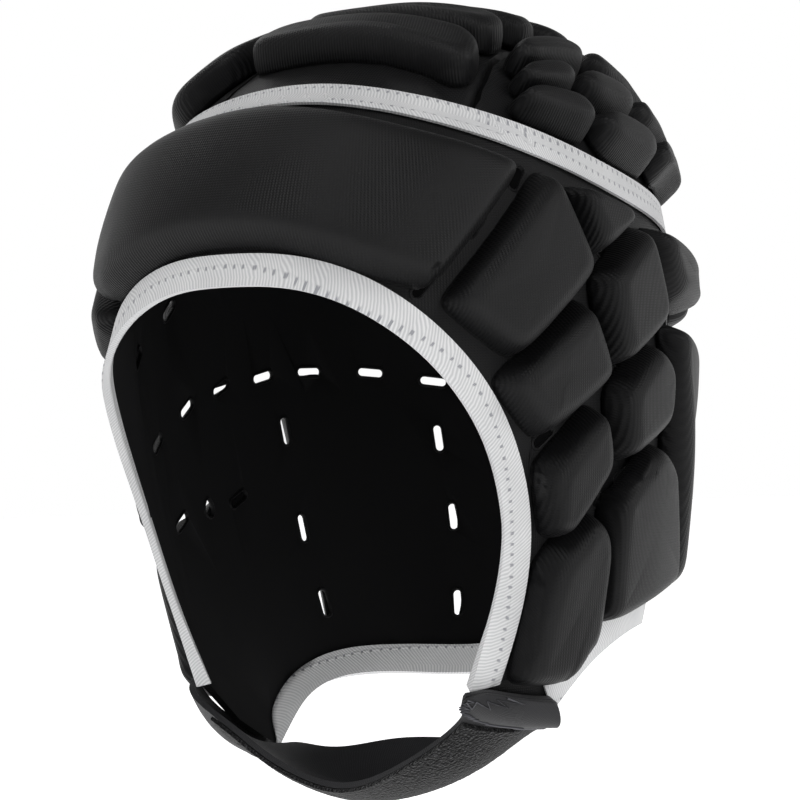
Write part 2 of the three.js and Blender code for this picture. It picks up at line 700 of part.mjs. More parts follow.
function crownPanels() {
  const dome = crownDome();
  const middle = dome.intersect(middlePanelBlock(-CROWN_SLIT_WIDTH / 2));
  const sides = dome.subtract(middlePanelBlock(CROWN_SLIT_WIDTH / 2));
  return [
    namedMesh('crown_middle_panel', geometryOf(middle), MATERIALS.shell),
    namedMesh('crown_left_panel', geometryOf(sides.intersect(sideBlock(1))), MATERIALS.shell),
    namedMesh('crown_right_panel', geometryOf(sides.intersect(sideBlock(-1))), MATERIALS.shell),
  ];
}

// Pads: an outline in a flat chart, lifted onto the form

// Rounds the corners of a flat polygon and divides its long edges, anticlockwise.
function roundedOutline(polygon, cornerSteps) {
  const corners = THREE.ShapeUtils.isClockWise(polygon) ? [...polygon].reverse() : polygon;
  const total = corners.length;
  const outline = [];
  corners.forEach((corner, i) => {
    const before = corners[(i + total - 1) % total];
    const after = corners[(i + 1) % total];
    const later = corners[(i + 2) % total];
    const trim = cornerTrim(before, corner, after);
    const start = corner.clone().add(before.clone().sub(corner).setLength(trim));
    const end = corner.clone().add(after.clone().sub(corner).setLength(trim));
    const next = after.clone().add(corner.clone().sub(after).setLength(cornerTrim(corner, after, later)));
    outline.push(...new THREE.QuadraticBezierCurve(start, corner, end).getPoints(cornerSteps));
    const steps = Math.round(end.distanceTo(next) / PAD_EDGE_STEP);
    for (let k = 1; k < steps; k += 1) outline.push(end.clone().lerp(next, k / steps));
  });
  return outline;
}

function cornerTrim(before, corner, after) {
  const room = MOST_TRIM * Math.min(corner.distanceTo(before), corner.distanceTo(after));
  return Math.min(PAD_CORNER_RADIUS, room);
}

function centreOf(outline) {
  const sum = outline.reduce((total, point) => total.add(point), new THREE.Vector2());
  return sum.divideScalar(outline.length);
}

// Draws an outline in towards its middle by a length, along and across its longer direction.
function inset(outline, amount) {
  const centre = centreOf(outline);
  let xx = 0;
  let xy = 0;
  let yy = 0;
  for (const point of outline) {
    const dx = point.x - centre.x;
    const dy = point.y - centre.y;
    xx += dx * dx;
    xy += dx * dy;
    yy += dy * dy;
  }
  const angle = Math.atan2(2 * xy, xx - yy) / 2;
  const turned = outline.map((point) => point.clone().rotateAround(centre, -angle).sub(centre));
  const halfLong = Math.max(...turned.map((point) => Math.abs(point.x)));
  const halfShort = Math.max(...turned.map((point) => Math.abs(point.y)));
  const keep = (half) => Math.max(1 - amount / half, LEAST_PAD_TOP);
  const scale = new THREE.Vector2(keep(halfLong), keep(halfShort));
  return turned.map((point) => point.multiply(scale).add(centre).rotateAround(centre, angle));
}

function shrink(outline, centre, share) {
  return outline.map((point) => centre.clone().lerp(point, share));
}

// A pad from a flat outline that runs anticlockwise, seen from outside.
function padSolid(outline, slope, lift) {
  const centre = centreOf(outline);
  const shoulder = inset(outline, slope * SHOULDER_RUN);
  const top = inset(outline, slope + PAD_SHOULDER);
  const reach = Math.max(...outline.map((point) => point.distanceTo(centre)));
  const underSteps = Math.min(Math.round(reach / UNDERSIDE_STEP), MOST_UNDER_STEPS);
  const underShares = Array.from({ length: underSteps - 1 }, (_, k) => (k + 1) / underSteps);
  const layers = [
    ...underShares.map((share) => shrink(outline, centre, share).map((p) => lift(p, PAD_CLEARANCE))),
    outline.map((p) => lift(p, PAD_CLEARANCE)),
    shoulder.map((p) => lift(p, PAD_HEIGHT - PAD_SHOULDER)),
    top.map((p) => lift(p, PAD_HEIGHT)),
  ];
  const size = outline.length;
  const points = [...layers.flat(), lift(centre, PAD_CLEARANCE), lift(centre, PAD_HEIGHT)];
  const under = points.length - 2;
  const over = points.length - 1;
  const last = (layers.length - 1) * size;
  const faces = [];
  for (let k = 0; k < size; k += 1) {
    const n = (k + 1) % size;
    faces.push([under, n, k], [over, last + k, last + n]);
    for (let j = 0; j < layers.length - 1; j += 1) {
      const a = j * size;
      const b = a + size;
      faces.push([a + k, a + n, b + n], [a + k, b + n, b + k]);
    }
  }
  return solidFrom(points, faces);
}

// Flat chart of the side: millimetres round the cap and millimetres up.
const CHART_SCALE = radians(1) * ((HALF_WIDTH + HALF_LENGTH) / 2);

function sideLift(point, height) {
  return sidePoint(point.x / CHART_SCALE, point.y, height);
}

// Bearing beside the face binding at a depth, on one side.
function faceBearing(side, depth) {
  const rows = [...FACE_RIM, ...(side > 0 ? LEFT_RIM : RIGHT_RIM).slice(0, CHEEK_FRONT_ROW + 1)];
  const margin = BINDING_WIDTH + (side > 0 ? LEFT_FACE_MARGIN : RIGHT_FACE_MARGIN);
  return readTable(rows, 'depth', depth, 'rim') + margin / CHART_SCALE;
}

function cornerBearing(side, bearing, depth) {
  if (bearing === FACE) return faceBearing(side, depth);
  if (bearing === TOE) return side > 0 ? LEFT_TOE_BEARING : RIGHT_TOE_BEARING;
  return patternBearing(side, bearing, depth === HEM ? 1 : depth);
}

function sideCorner(side, [bearing, depth]) {
  const turned = side * cornerBearing(side, bearing, depth);
  const hemLimit = hemLevel(turned) + BINDING_WIDTH + HEM_MARGIN;
  const level = depth === HEM ? hemLimit : -SIDE_HEIGHT * depth - sagAt(turned, depth);
  return new THREE.Vector2(turned * CHART_SCALE, level);
}

function sidePad(side, pad) {
  const corners = pad.corners.map((corner) => sideCorner(side, corner));
  return padSolid(inset(roundedOutline(corners, 2), -PAD_SPREAD), PAD_SLOPE, sideLift);
}

function sidePads() {
  const meshes = [];
  for (const side of [1, -1]) {
    const word = side > 0 ? 'left' : 'right';
    for (const pad of SIDE_PADS) {
      meshes.push(namedMesh(`pad_${pad.name}_${word}`, sidePad(side, pad), MATERIALS.pad));
    }
  }
  return meshes;
}

// Forehead pad: a long curved bar between the tape and the face opening.
function foreheadEdge(share, across) {
  const side = Math.sign(share) || 1;
  const place = Math.abs(share) * (FOREHEAD_ROWS.length - 1);
  const read = (key) => smoothRows(FOREHEAD_ROWS.map((row) => row[key]), place);
  const bearing = side * blend(read('lower'), read('upper'), across);
  const level = -SIDE_HEIGHT * blend(read('lowerDepth'), read('upperDepth'), across);
  return { bearing, level };
}

function foreheadPad() {
  const halfSpans = 8;
  const topSpans = 2;
  const underSpans = 4;
  const height = SIDE_HEIGHT * (FOREHEAD_ROWS[0].lowerDepth - FOREHEAD_ROWS[0].upperDepth);
  const slope = PAD_SLOPE / height;
  const endSlope = PAD_SLOPE / (FOREHEAD_ROWS.at(-1).upper * CHART_SCALE);
  const shares = [-1, endSlope - 1];
  for (let i = 1 - halfSpans; i < halfSpans; i += 1) shares.push(i / halfSpans);
  shares.push(1 - endSlope, 1);
  const at = (share, across, lift) => {
    const { bearing, level } = foreheadEdge(share, across);
    return sidePoint(bearing, level, lift);
  };
  const rings = shares.map((share) => {
    const atEnd = Math.abs(share) === 1;
    const rise = atEnd ? FOREHEAD_END_HEIGHT : PAD_HEIGHT;
    const shoulder = rise * FOREHEAD_SHOULDER_RISE;
    const run = atEnd ? 0 : SHOULDER_RUN * slope;
    const ring = [at(share, 0, PAD_CLEARANCE), at(share, run, shoulder)];
    for (let k = 0; k <= topSpans; k += 1) {
      ring.push(at(share, blend(FOREHEAD_TOP_RUN * slope, 1 - FOREHEAD_TOP_RUN * slope, k / topSpans), rise));
    }
    ring.push(at(share, 1 - run, shoulder));
    for (let k = underSpans; k >= 1; k -= 1) ring.push(at(share, k / underSpans, PAD_CLEARANCE));
    return ring;
  });
  return namedMesh('pad_forehead', ringTube(rings, false), MATERIALS.pad);
}

// Crown pads

function planLift(point, height) {
  return crownPoint(point.x, point.y, Math.max(height, CROWN_PAD_CLEARANCE));
}

function crownBar(bar) {
  const margin = CROWN_SLIT_WIDTH / 2 + SLIT_MARGIN;
  const corner = (side, place) => new THREE.Vector2(slitPlace(side, place, -margin), place * HALF_LENGTH);
  const corners = [corner(1, bar.front), corner(1, bar.back), corner(-1, bar.back), corner(-1, bar.front)];
  return padSolid(roundedOutline(corners, 1), CROWN_PAD_SLOPE, planLift);
}

function lowCrownBar(bar) {
  const place = (bearing, depth) => new THREE.Vector2(bearing * CHART_SCALE, -SIDE_HEIGHT * depth);
  const corners = [
    place(bar.left, bar.lower),
    place(bar.right, bar.lower),
    place(bar.right, bar.upper),
    place(bar.left, bar.upper),
  ];
  return padSolid(roundedOutline(corners, 1), CROWN_PAD_SLOPE, sideLift);
}

function sidePanelPlace(side, along, across) {
  const ends = side > 0 ? LEFT_PANEL_ENDS : RIGHT_PANEL_ENDS;
  const place = blend(ends.front, ends.back, along);
  const bearing = side * blend(ends.frontBearing, ends.backBearing, along);
  const inner = new THREE.Vector2(slitPlace(side, place, CROWN_SLIT_WIDTH), place * HALF_LENGTH);
  const edge = surfacePoint(bearing, tapeLevel(bearing) + TAPE_WIDTH / 2 + TAPE_MARGIN);
  return surfaceShare(inner, new THREE.Vector2(edge.x, edge.y), across);
}

// The place in plan at a share of the way over the crown's surface between two places.
function surfaceShare(from, to, share) {
  const steps = 16;
  const places = [];
  for (let i = 0; i <= steps; i += 1) places.push(from.clone().lerp(to, i / steps));
  const curve = new THREE.CatmullRomCurve3(places.map((place) => crownPoint(place.x, place.y, 0)));
  const point = curve.getPointAt(share);
  return new THREE.Vector2(point.x, point.y);
}

function crownSidePad(side, pad) {
  const [front, back] = pad.along;
  const [inner, outer] = pad.across;
  const corners = [
    sidePanelPlace(side, front, inner),
    sidePanelPlace(side, front, outer),
    sidePanelPlace(side, back, outer),
    sidePanelPlace(side, back, inner),
  ];
  return padSolid(roundedOutline(corners, 1), CROWN_PAD_SLOPE, planLift);
}

function crownPads() {
  const meshes = [
    ...CROWN_BARS.map((bar) => namedMesh(`crown_bar_${bar.name}`, crownBar(bar), MATERIALS.pad)),
    ...LOW_CROWN_BARS.map((bar) => namedMesh(`crown_bar_${bar.name}`, lowCrownBar(bar), MATERIALS.pad)),
  ];
  for (const side of [1, -1]) {
    const word = side > 0 ? 'left' : 'right';
    for (const pad of side > 0 ? LEFT_CROWN_PADS : RIGHT_CROWN_PADS) {
      meshes.push(namedMesh(`crown_pad_${pad.name}_${word}`, crownSidePad(side, pad), MATERIALS.pad));
    }
  }
  return meshes;
}

// Trims

function crownTape() {
  const rings = [];
  for (let i = 0; i < COLUMNS; i += 1) {
    const bearing = -180 + (i / COLUMNS) * 360;
    const level = tapeLevel(bearing);
    const rise = surfacePoint(bearing, level + 1).distanceTo(surfacePoint(bearing, level - 1)) / 2;
    const half = TAPE_WIDTH / 2 / rise;
    const at = (height) => (k) => sidePoint(bearing, blend(level - half, level + half, k), height);
    rings.push(slabRing(1, at(TAPE_CLEARANCE), at(TAPE_CLEARANCE + TAPE_THICKNESS)));
  }
  return namedMesh('crown_tape', ringTube(rings, true), MATERIALS.trim);
}

// Folded tape over the rim between two places of the loop; the inner leg may be short.
function binding(name, from, to, innerWidth) {
  const rings = [];
  const steps = Math.round(((to - from) / RIM_LAST) * COLUMNS);
  const over = TRIM_CLEARANCE + BINDING_THICKNESS;
  for (let i = 0; i <= steps; i += 1) {
    const place = blend(from, to, i / steps);
    const inside = -SHELL_THICKNESS;
    rings.push([
      rimPoint(place, BINDING_WIDTH, TRIM_CLEARANCE),
      rimPoint(place, -TRIM_CLEARANCE, TRIM_CLEARANCE),
      rimPoint(place, -TRIM_CLEARANCE, inside - TRIM_CLEARANCE),
      rimPoint(place, innerWidth, inside - TRIM_CLEARANCE),
      rimPoint(place, innerWidth, inside - over),
      rimPoint(place, -over, inside - over),
      rimPoint(place, -over, over),
      rimPoint(place, BINDING_WIDTH, over),
    ]);
  }
  const legsBack = (k, size) => k % (size / 2) === 0;
  return namedMesh(name, ringTube(rings, false, legsBack), MATERIALS.trim);
}

function bindings() {
  const faceReach = SHELL_THICKNESS / 2;
  const endGap = BINDING_END_GAP;
  return [
    binding('face_binding', RIGHT_CHEEK_FRONT, LEFT_CHEEK_FRONT, faceReach),
    binding('neck_binding_left', LEFT_CHEEK_BACK, RIM_LAST - endGap, BINDING_WIDTH),
    binding('neck_binding_right', endGap, RIGHT_CHEEK_BACK, BINDING_WIDTH),
  ];
}

// Chin strap

function strapTablePoint(key, row) {
  const [across, forward, down] = row[key];
  return new THREE.Vector3(across * HALF_WIDTH, FORM_CENTRE - forward * HALF_LENGTH, -down * STRAP_DROP);
}

function strapCurves() {
  const seamHeight = TRIM_CLEARANCE * 2 + BINDING_THICKNESS + STRAP_THICKNESS / 2;
  const seamPoint = (place, length) => rimPoint(place, length, seamHeight);
  const lips = (key, left, right) => new THREE.CatmullRomCurve3([
    seamPoint(left, STRAP_LAP),
    seamPoint(left, -STRAP_LAP),
    ...STRAP_STATIONS_TABLE.map((row) => strapTablePoint(key, row)),
    seamPoint(right, -STRAP_LAP),
    seamPoint(right, STRAP_LAP),
  ], false, 'centripetal');
  return {
    front: lips('front', LEFT_CHEEK_FRONT, RIGHT_CHEEK_FRONT),
    back: lips('back', LEFT_CHEEK_BACK, RIGHT_CHEEK_BACK),
  };
}

const STRAP = strapCurves();
const STRAP_CUPS = [
  LEFT_SEAM_CUP, LEFT_SEAM_CUP, ...STRAP_STATIONS_TABLE.map((row) => row.cup), RIGHT_SEAM_CUP, RIGHT_SEAM_CUP,
];

// A point of the strap: share along, share from front to back lip, height outwards.
function strapPoint(along, across, height) {
  const step = 0.004;
  const middle = (t) => STRAP.front.getPoint(t).lerp(STRAP.back.getPoint(t), 0.5);
  const front = STRAP.front.getPoint(along);
  const back = STRAP.back.getPoint(along);
  const run = middle(Math.min(along + step, 1)).sub(middle(Math.max(along - step, 0)));
  const width = front.distanceTo(back);
  const out = new THREE.Vector3().crossVectors(run, back.clone().sub(front)).normalize();
  const cup = smoothRows(STRAP_CUPS, along * (STRAP_CUPS.length - 1)) * width;
  const lean = 4 * (2 * across - 1) * (-cup / width);
  const tilted = out.clone().addScaledVector(back.clone().sub(front).normalize(), -lean).normalize();
  return front.lerp(back, across)
    .addScaledVector(out, 4 * across * (1 - across) * cup)
    .addScaledVector(tilted, height);
}

function strapBand(name, from, to, low, high, edgeAt, material) {
  const rings = [];
  const first = Math.round(from * STRAP_STATIONS);
  const last = Math.round(to * STRAP_STATIONS);
  for (let i = first; i <= last; i += 1) {
    const along = i / STRAP_STATIONS;
    const [start, end] = edgeAt(along);
    const at = (height) => (k) => strapPoint(along, blend(start, end, k), height);
    rings.push(slabRing(4, at(low), at(high)));
  }
  return namedMesh(name, ringTube(rings, false), material);
}

function chinStrap() {
  const low = -STRAP_THICKNESS / 2;
  const high = STRAP_THICKNESS / 2;
  const outer = high + STRAP_LAYER_CLEARANCE;
  const outerTop = outer + STRAP_LAYER_THICKNESS;
  const whole = () => [0, 1];
  const fade = (along) => Math.max(along - TAB_LENGTH, 0) / (TAB_FADE - TAB_LENGTH);
  const taper = (along) => [0, blend(1, TAB_END_WIDTH, fade(along))];
  return [
    strapBand('chin_strap', 0, 1, low, high, whole, MATERIALS.strap),
    strapBand('strap_tab_left', 0, TAB_LENGTH, outer, outerTop, taper, MATERIALS.strap),
    strapBand('fastening_patch', PATCH_START, PATCH_END, outer, outerTop, whole, MATERIALS.pile),
  ];
}

const scrumCap = new THREE.Group();
scrumCap.add(
  sideShell(),
  ...crownPanels(),
  foreheadPad(),
  ...sidePads(),
  ...crownPads(),
  crownTape(),
  ...bindings(),
  ...chinStrap(),
);

export default scrumCap;
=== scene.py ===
"""Rugby scrum cap: foam pads under stretch knit on a vented shell, with twill trims and a chin strap."""

from __future__ import annotations

import logging
import math
from contextlib import contextmanager
from dataclasses import dataclass
from enum import Enum
from typing import Callable, Iterator, Sequence

import bpy
import numpy as np
from mathutils import Matrix, Vector
from mathutils.bvhtree import BVHTree


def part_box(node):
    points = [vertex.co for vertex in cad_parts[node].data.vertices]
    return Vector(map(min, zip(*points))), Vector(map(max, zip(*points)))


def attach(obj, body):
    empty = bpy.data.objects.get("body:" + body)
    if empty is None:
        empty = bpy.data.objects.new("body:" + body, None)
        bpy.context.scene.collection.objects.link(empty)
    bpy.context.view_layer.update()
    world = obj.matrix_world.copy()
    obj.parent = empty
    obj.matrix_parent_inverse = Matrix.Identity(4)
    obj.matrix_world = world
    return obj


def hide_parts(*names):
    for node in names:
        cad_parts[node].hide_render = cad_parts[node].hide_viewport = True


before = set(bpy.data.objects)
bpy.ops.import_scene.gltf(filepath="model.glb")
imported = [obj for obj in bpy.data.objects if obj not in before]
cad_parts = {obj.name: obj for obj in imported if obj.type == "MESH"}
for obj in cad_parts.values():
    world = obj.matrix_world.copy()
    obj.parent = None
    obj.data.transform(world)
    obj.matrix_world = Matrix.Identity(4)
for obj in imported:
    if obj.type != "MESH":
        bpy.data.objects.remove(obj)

LOG = logging.getLogger("scrum_cap")
MM = 0.001
BODY = "root"
IMAGE_SIZE = 800
MERGE_REACH = 0.002 * MM
KNIT_RADIUS = 89.0
WHITE = (1.0, 1.0, 1.0, 1.0)
HEAD_MIDDLE = Vector((0.0, 0.003, -0.09))
SHELL_NODES = ("side_shell", "crown_middle_panel", "crown_left_panel", "crown_right_panel")


class Chart(Enum):
    """How a pattern is laid out flat on a piece."""

    ROUND = "round"
    PLAN = "plan"
    FACING = "facing"


# Small helpers


def linear(code: str) -> tuple[float, float, float, float]:
    """Turns an sRGB hex colour into linear values.

    Args:
        code: The colour as "#rrggbb".

    Returns:
        Red, green, blue and an alpha of 1.
    """
    shares = [int(code[i:i + 2], 16) / 255 for i in (1, 3, 5)]
    red, green, blue = (s / 12.92 if s <= 0.04045 else ((s + 0.055) / 1.055) ** 2.4 for s in shares)
    return red, green, blue, 1.0


def fill(tree: bpy.types.NodeTree, node: bpy.types.Node, inputs: dict) -> None:
    """Links or sets a node's inputs.

    Args:
        tree: The node tree.
        node: The node.
        inputs: Values or sockets by input name or number.
    """
    for name, value in inputs.items():
        if isinstance(value, bpy.types.NodeSocket):
            tree.links.new(value, node.inputs[name])
        else:
            node.inputs[name].default_value = value


def add(tree: bpy.types.NodeTree, kind: str, settings: dict | None = None,
        inputs: dict | None = None) -> bpy.types.Node:
    """Adds a shader node with its settings and links.

    Args:
        tree: The node tree that gets the node.
        kind: The node's type without its "ShaderNode" prefix.
        settings: Properties of the node.
        inputs: Values or sockets by input name or number.

    Returns:
        The new node.
    """
    node = tree.nodes.new("ShaderNode" + kind)
    for name, value in (settings or {}).items():
        setattr(node, name, value)
    fill(tree, node, inputs or {})
    return node


def sums(tree: bpy.types.NodeTree, operation: str, *values: object) -> bpy.types.NodeSocket:
    """Adds a Math node and gives its result.

    Args:
        tree: The node tree.
        operation: The Math node's operation.
        values: Numbers or sockets.

    Returns:
        The result's socket.
    """
    return add(tree, "Math", {"operation": operation}, dict(enumerate(values))).outputs[0]


def deselect() -> None:
    """Deselects every object."""
    for obj in bpy.context.selected_objects:
        obj.select_set(False)


def activate(obj: bpy.types.Object) -> None:
    """Makes an object the only selected and active one."""
    deselect()
    bpy.context.view_layer.objects.active = obj
    obj.select_set(True)


def placed(name: str, data: bpy.types.ID) -> bpy.types.Object:
    """Makes an object of some data and links it to the scene."""
    obj = bpy.data.objects.new(name, data)
    bpy.context.scene.collection.objects.link(obj)
    return obj


@contextmanager
def editing(piece: bpy.types.Object) -> Iterator[None]:
    """Edit mode on a piece, with all of it selected at the start."""
    activate(piece)
    bpy.ops.object.mode_set(mode="EDIT")
    bpy.ops.mesh.select_all(action="SELECT")
    yield
    bpy.ops.object.mode_set(mode="OBJECT")


def cad_copy(node: str, name: str) -> bpy.types.Object:
    """Copies a CAD node into a piece of its own and merges its loose triangles.

    Args:
        node: The CAD node's name.
        name: The new piece's name.

    Returns:
        The new object, at the origin, with its place in its mesh.
    """
    piece = placed(name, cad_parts[node].data.copy())
    piece.data.materials.clear()
    with editing(piece):
        bpy.ops.mesh.remove_doubles(threshold=MERGE_REACH)
    return piece


def apply_modifier(piece: bpy.types.Object, kind: str, **settings: object) -> None:
    """Adds a modifier to a piece, with its settings, and applies it."""
    activate(piece)
    modifier = piece.modifiers.new(kind.lower(), kind)
    for name, value in settings.items():
        setattr(modifier, name, value)
    bpy.ops.object.modifier_apply(modifier=modifier.name)


def places(mesh: bpy.types.Mesh) -> np.ndarray:
    """A mesh's vertices as rows of x, y and z."""
    out = np.empty(len(mesh.vertices) * 3)
    mesh.vertices.foreach_get("co", out)
    return out.reshape(-1, 3)


def place_all(mesh: bpy.types.Mesh, points: np.ndarray) -> None:
    """Moves a mesh's vertices to the given rows of x, y and z."""
    mesh.vertices.foreach_set("co", points.ravel())
    mesh.update()


def normals_of(mesh: bpy.types.Mesh) -> np.ndarray:
    """A mesh's vertex normals as rows."""
    out = np.empty(len(mesh.vertices) * 3)
    mesh.vertex_normals.foreach_get("vector", out)
    return out.reshape(-1, 3)


def set_uv(mesh: bpy.types.Mesh, name: str, values: np.ndarray, wrap: float | None = None) -> None:
    """Writes a UV map in millimetres from values at the vertices.

    Args:
        mesh: The mesh that gets the map.
        name: The map's name.
        values: Two numbers for each vertex.
        wrap: The first number's period, where the map closes on itself.
    """
    corner = np.empty(len(mesh.loops), dtype=np.int64)
    mesh.loops.foreach_get("vertex_index", corner)
    flat = values[corner].copy()
    if wrap:
        starts = np.empty(len(mesh.polygons), dtype=np.int64)
        counts = np.empty(len(mesh.polygons), dtype=np.int64)
        mesh.polygons.foreach_get("loop_start", starts)
        mesh.polygons.foreach_get("loop_total", counts)
        face = np.repeat(np.arange(len(starts)), counts)
        first = flat[starts[face], 0]
        flat[:, 0] -= wrap * np.round((flat[:, 0] - first) / wrap)
    layer = mesh.uv_layers.new(name=name)
    layer.data.foreach_set("uv", flat.ravel())


def set_numbers(mesh: bpy.types.Mesh, name: str, values: np.ndarray) -> None:
    """Writes one number for each vertex as an attribute."""
    layer = mesh.attributes.new(name, "FLOAT", "POINT")
    layer.data.foreach_set("value", values.astype(np.float32))


def lay_flat(piece: bpy.types.Object, chart: Chart) -> None:
    """Gives a piece the map that its knit follows: round the head and up, or seen from above.

    Args:
        piece: The piece that gets the map "weave".
        chart: Which of the two.
    """
    points = places(piece.data) / MM
    if chart is Chart.PLAN:
        set_uv(piece.data, "weave", points[:, :2])
        return
    if chart is Chart.FACING:
        middle = points.mean(axis=0)
        out = middle - np.array([0.0, 3.0, -100.0])
        out /= np.linalg.norm(out)
        level = np.cross([0.0, 0.0, 1.0], out)
        level /= np.linalg.norm(level)
        rise = np.cross(out, level)
        set_uv(piece.data, "weave", np.column_stack([points @ level, points @ rise]))
        return
    bearing = np.arctan2(points[:, 0], -points[:, 1])
    set_uv(piece.data, "weave", np.column_stack([bearing * KNIT_RADIUS, points[:, 2]]),
           2 * math.pi * KNIT_RADIUS)


def dress(piece: bpy.types.Object, *materials: bpy.types.Material) -> None:
    """Gives a piece its materials, in order."""
    for material in materials:
        piece.data.materials.append(material)


def hand_over(piece: bpy.types.Object, slot: str, *nodes: str) -> None:
    """Sets a piece on the cap's body, hides the CAD nodes that it stands for and logs its faces."""
    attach(piece, BODY)
    if nodes:
        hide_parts(*nodes)
    LOG.info("%s: %d faces", piece.name, len(piece.data.polygons))


# Finishes


def new_finish(name: str) -> tuple[bpy.types.Material, bpy.types.NodeTree, bpy.types.Node]:
    """Starts a material.

    Args:
        name: The material's name.

    Returns:
        The material, its node tree and its Principled shader.
    """
    material = bpy.data.materials.new(name)
    material.use_nodes = True
    return material, material.node_tree, material.node_tree.nodes["Principled BSDF"]


def noise(tree: bpy.types.NodeTree, scale: float, detail: float = 2.0) -> bpy.types.NodeSocket:
    """Adds noise on Object coordinates and gives its value.

    Args:
        tree: The node tree.
        scale: The noise's scale, in waves for each metre.
        detail: The noise's detail.

    Returns:
        The value's socket.
    """
    spot = add(tree, "TexCoord")
    return add(tree, "TexNoise", None, {
        "Vector": spot.outputs["Object"], "Scale": scale, "Detail": detail}).outputs[0]


def mixed(tree: bpy.types.NodeTree, share: object, first: str, second: str) -> bpy.types.NodeSocket:
    """Mixes two hex colours by a share from 0 to 1 and gives the colour."""
    return add(tree, "Mix", {"data_type": "RGBA"}, {0: share, 6: linear(first), 7: linear(second)}).outputs[2]


def raised(tree: bpy.types.NodeTree, strength: float, depth: float, height: object) -> bpy.types.NodeSocket:
    """Adds bumps of a depth in millimetres and gives the normal."""
    return add(tree, "Bump", None, {"Strength": strength, "Distance": depth * MM, "Height": height}).outputs[0]


def split_map(tree: bpy.types.NodeTree, name: str) -> tuple[bpy.types.NodeSocket, bpy.types.NodeSocket]:
    """Gives the two numbers of a UV map."""
    parts = add(tree, "SeparateXYZ", None, {0: add(tree, "UVMap", {"uv_map": name}).outputs[0]})
    return parts.outputs[0], parts.outputs[1]


@dataclass(frozen=True)
class KnitOverFoam:
    """Warp-knit polyester stretched over moulded foam: near black, with a satin gloss along its wales and less
    gloss on the pads' slopes, which is painted shade.

    The real wales are about 0.5 mm apart, too fine for the picture, so they are drawn wider.
    """

    name: str = "warp_knit_over_foam"
    colour: str = "#09090a"
    worn: str = "#101011"
    wale: float = 0.95
    course: float = 0.8
    depth: float = 0.1
    row_share: float = 0.45
    roughness: float = 0.5
    gloss: float = 0.2
    slope_shade_gloss: float = 0.06
    sheen: float = 0.015

    def material(self) -> bpy.types.Material:
        """Builds the knit's material.

        Returns:
            The material, which reads the map "weave" and the attribute "slope".
        """
        material, tree, shader = new_finish(self.name)
        level, rise = split_map(tree, "weave")
        across = sums(tree, "DIVIDE", level, self.wale)
        along = sums(tree, "DIVIDE", rise, self.course)
        chevron = sums(tree, "PINGPONG", across, 0.5)
        rows = sums(tree, "SINE", sums(tree, "MULTIPLY", sums(tree, "ADD", along, chevron), 2 * math.pi))
        wales = sums(tree, "COSINE", sums(tree, "MULTIPLY", across, 2 * math.pi))
        slope = add(tree, "Attribute", {"attribute_name": "slope"}).outputs["Fac"]
        ribs = sums(tree, "MULTIPLY", wales, sums(tree, "MULTIPLY_ADD", slope, 1.1, 0.5))
        height = sums(tree, "MULTIPLY_ADD", rows, self.row_share, ribs)
        cloud = noise(tree, 46.0, 4.0)
        tone = add(tree, "MapRange", None, {0: cloud, 1: 0.35, 2: 0.7}).outputs[0]
        fill(tree, shader, {
            "Base Color": mixed(tree, sums(tree, "MULTIPLY", tone, 0.7), self.colour, self.worn),
            "Roughness": sums(tree, "MULTIPLY_ADD", cloud, 0.12, self.roughness - 0.06),
            "Normal": raised(tree, 0.6, self.depth, height),
            # painted shade: the pads' slopes get less gloss than their tops, so that they read darker
            "Specular IOR Level": sums(tree, "MULTIPLY_ADD", slope, self.slope_shade_gloss - self.gloss, self.gloss),
            "Sheen Weight": self.sheen,
            "Sheen Roughness": 0.4})
        return material


@dataclass(frozen=True)
class SmoothLining:
    """Flat black jersey lining, laminated to the foam: matt and so dark that the hollow reads as black."""

    name: str = "laminated_jersey_lining"
    colour: str = "#070708"
    worn: str = "#0c0c0d"
    roughness: float = 0.88
    gloss: float = 0.18
    grain: float = 0.7

    def material(self) -> bpy.types.Material:
        """Builds the lining's material.

        Returns:
            The material, on Object coordinates.
        """
        material, tree, shader = new_finish(self.name)
        fill(tree, shader, {
            "Base Color": mixed(tree, noise(tree, 25.0), self.colour, self.worn),
            "Normal": raised(tree, 0.25, 0.08, noise(tree, 1 / (self.grain * MM))),
            "Roughness": self.roughness,
            "Specular IOR Level": self.gloss})
        return material


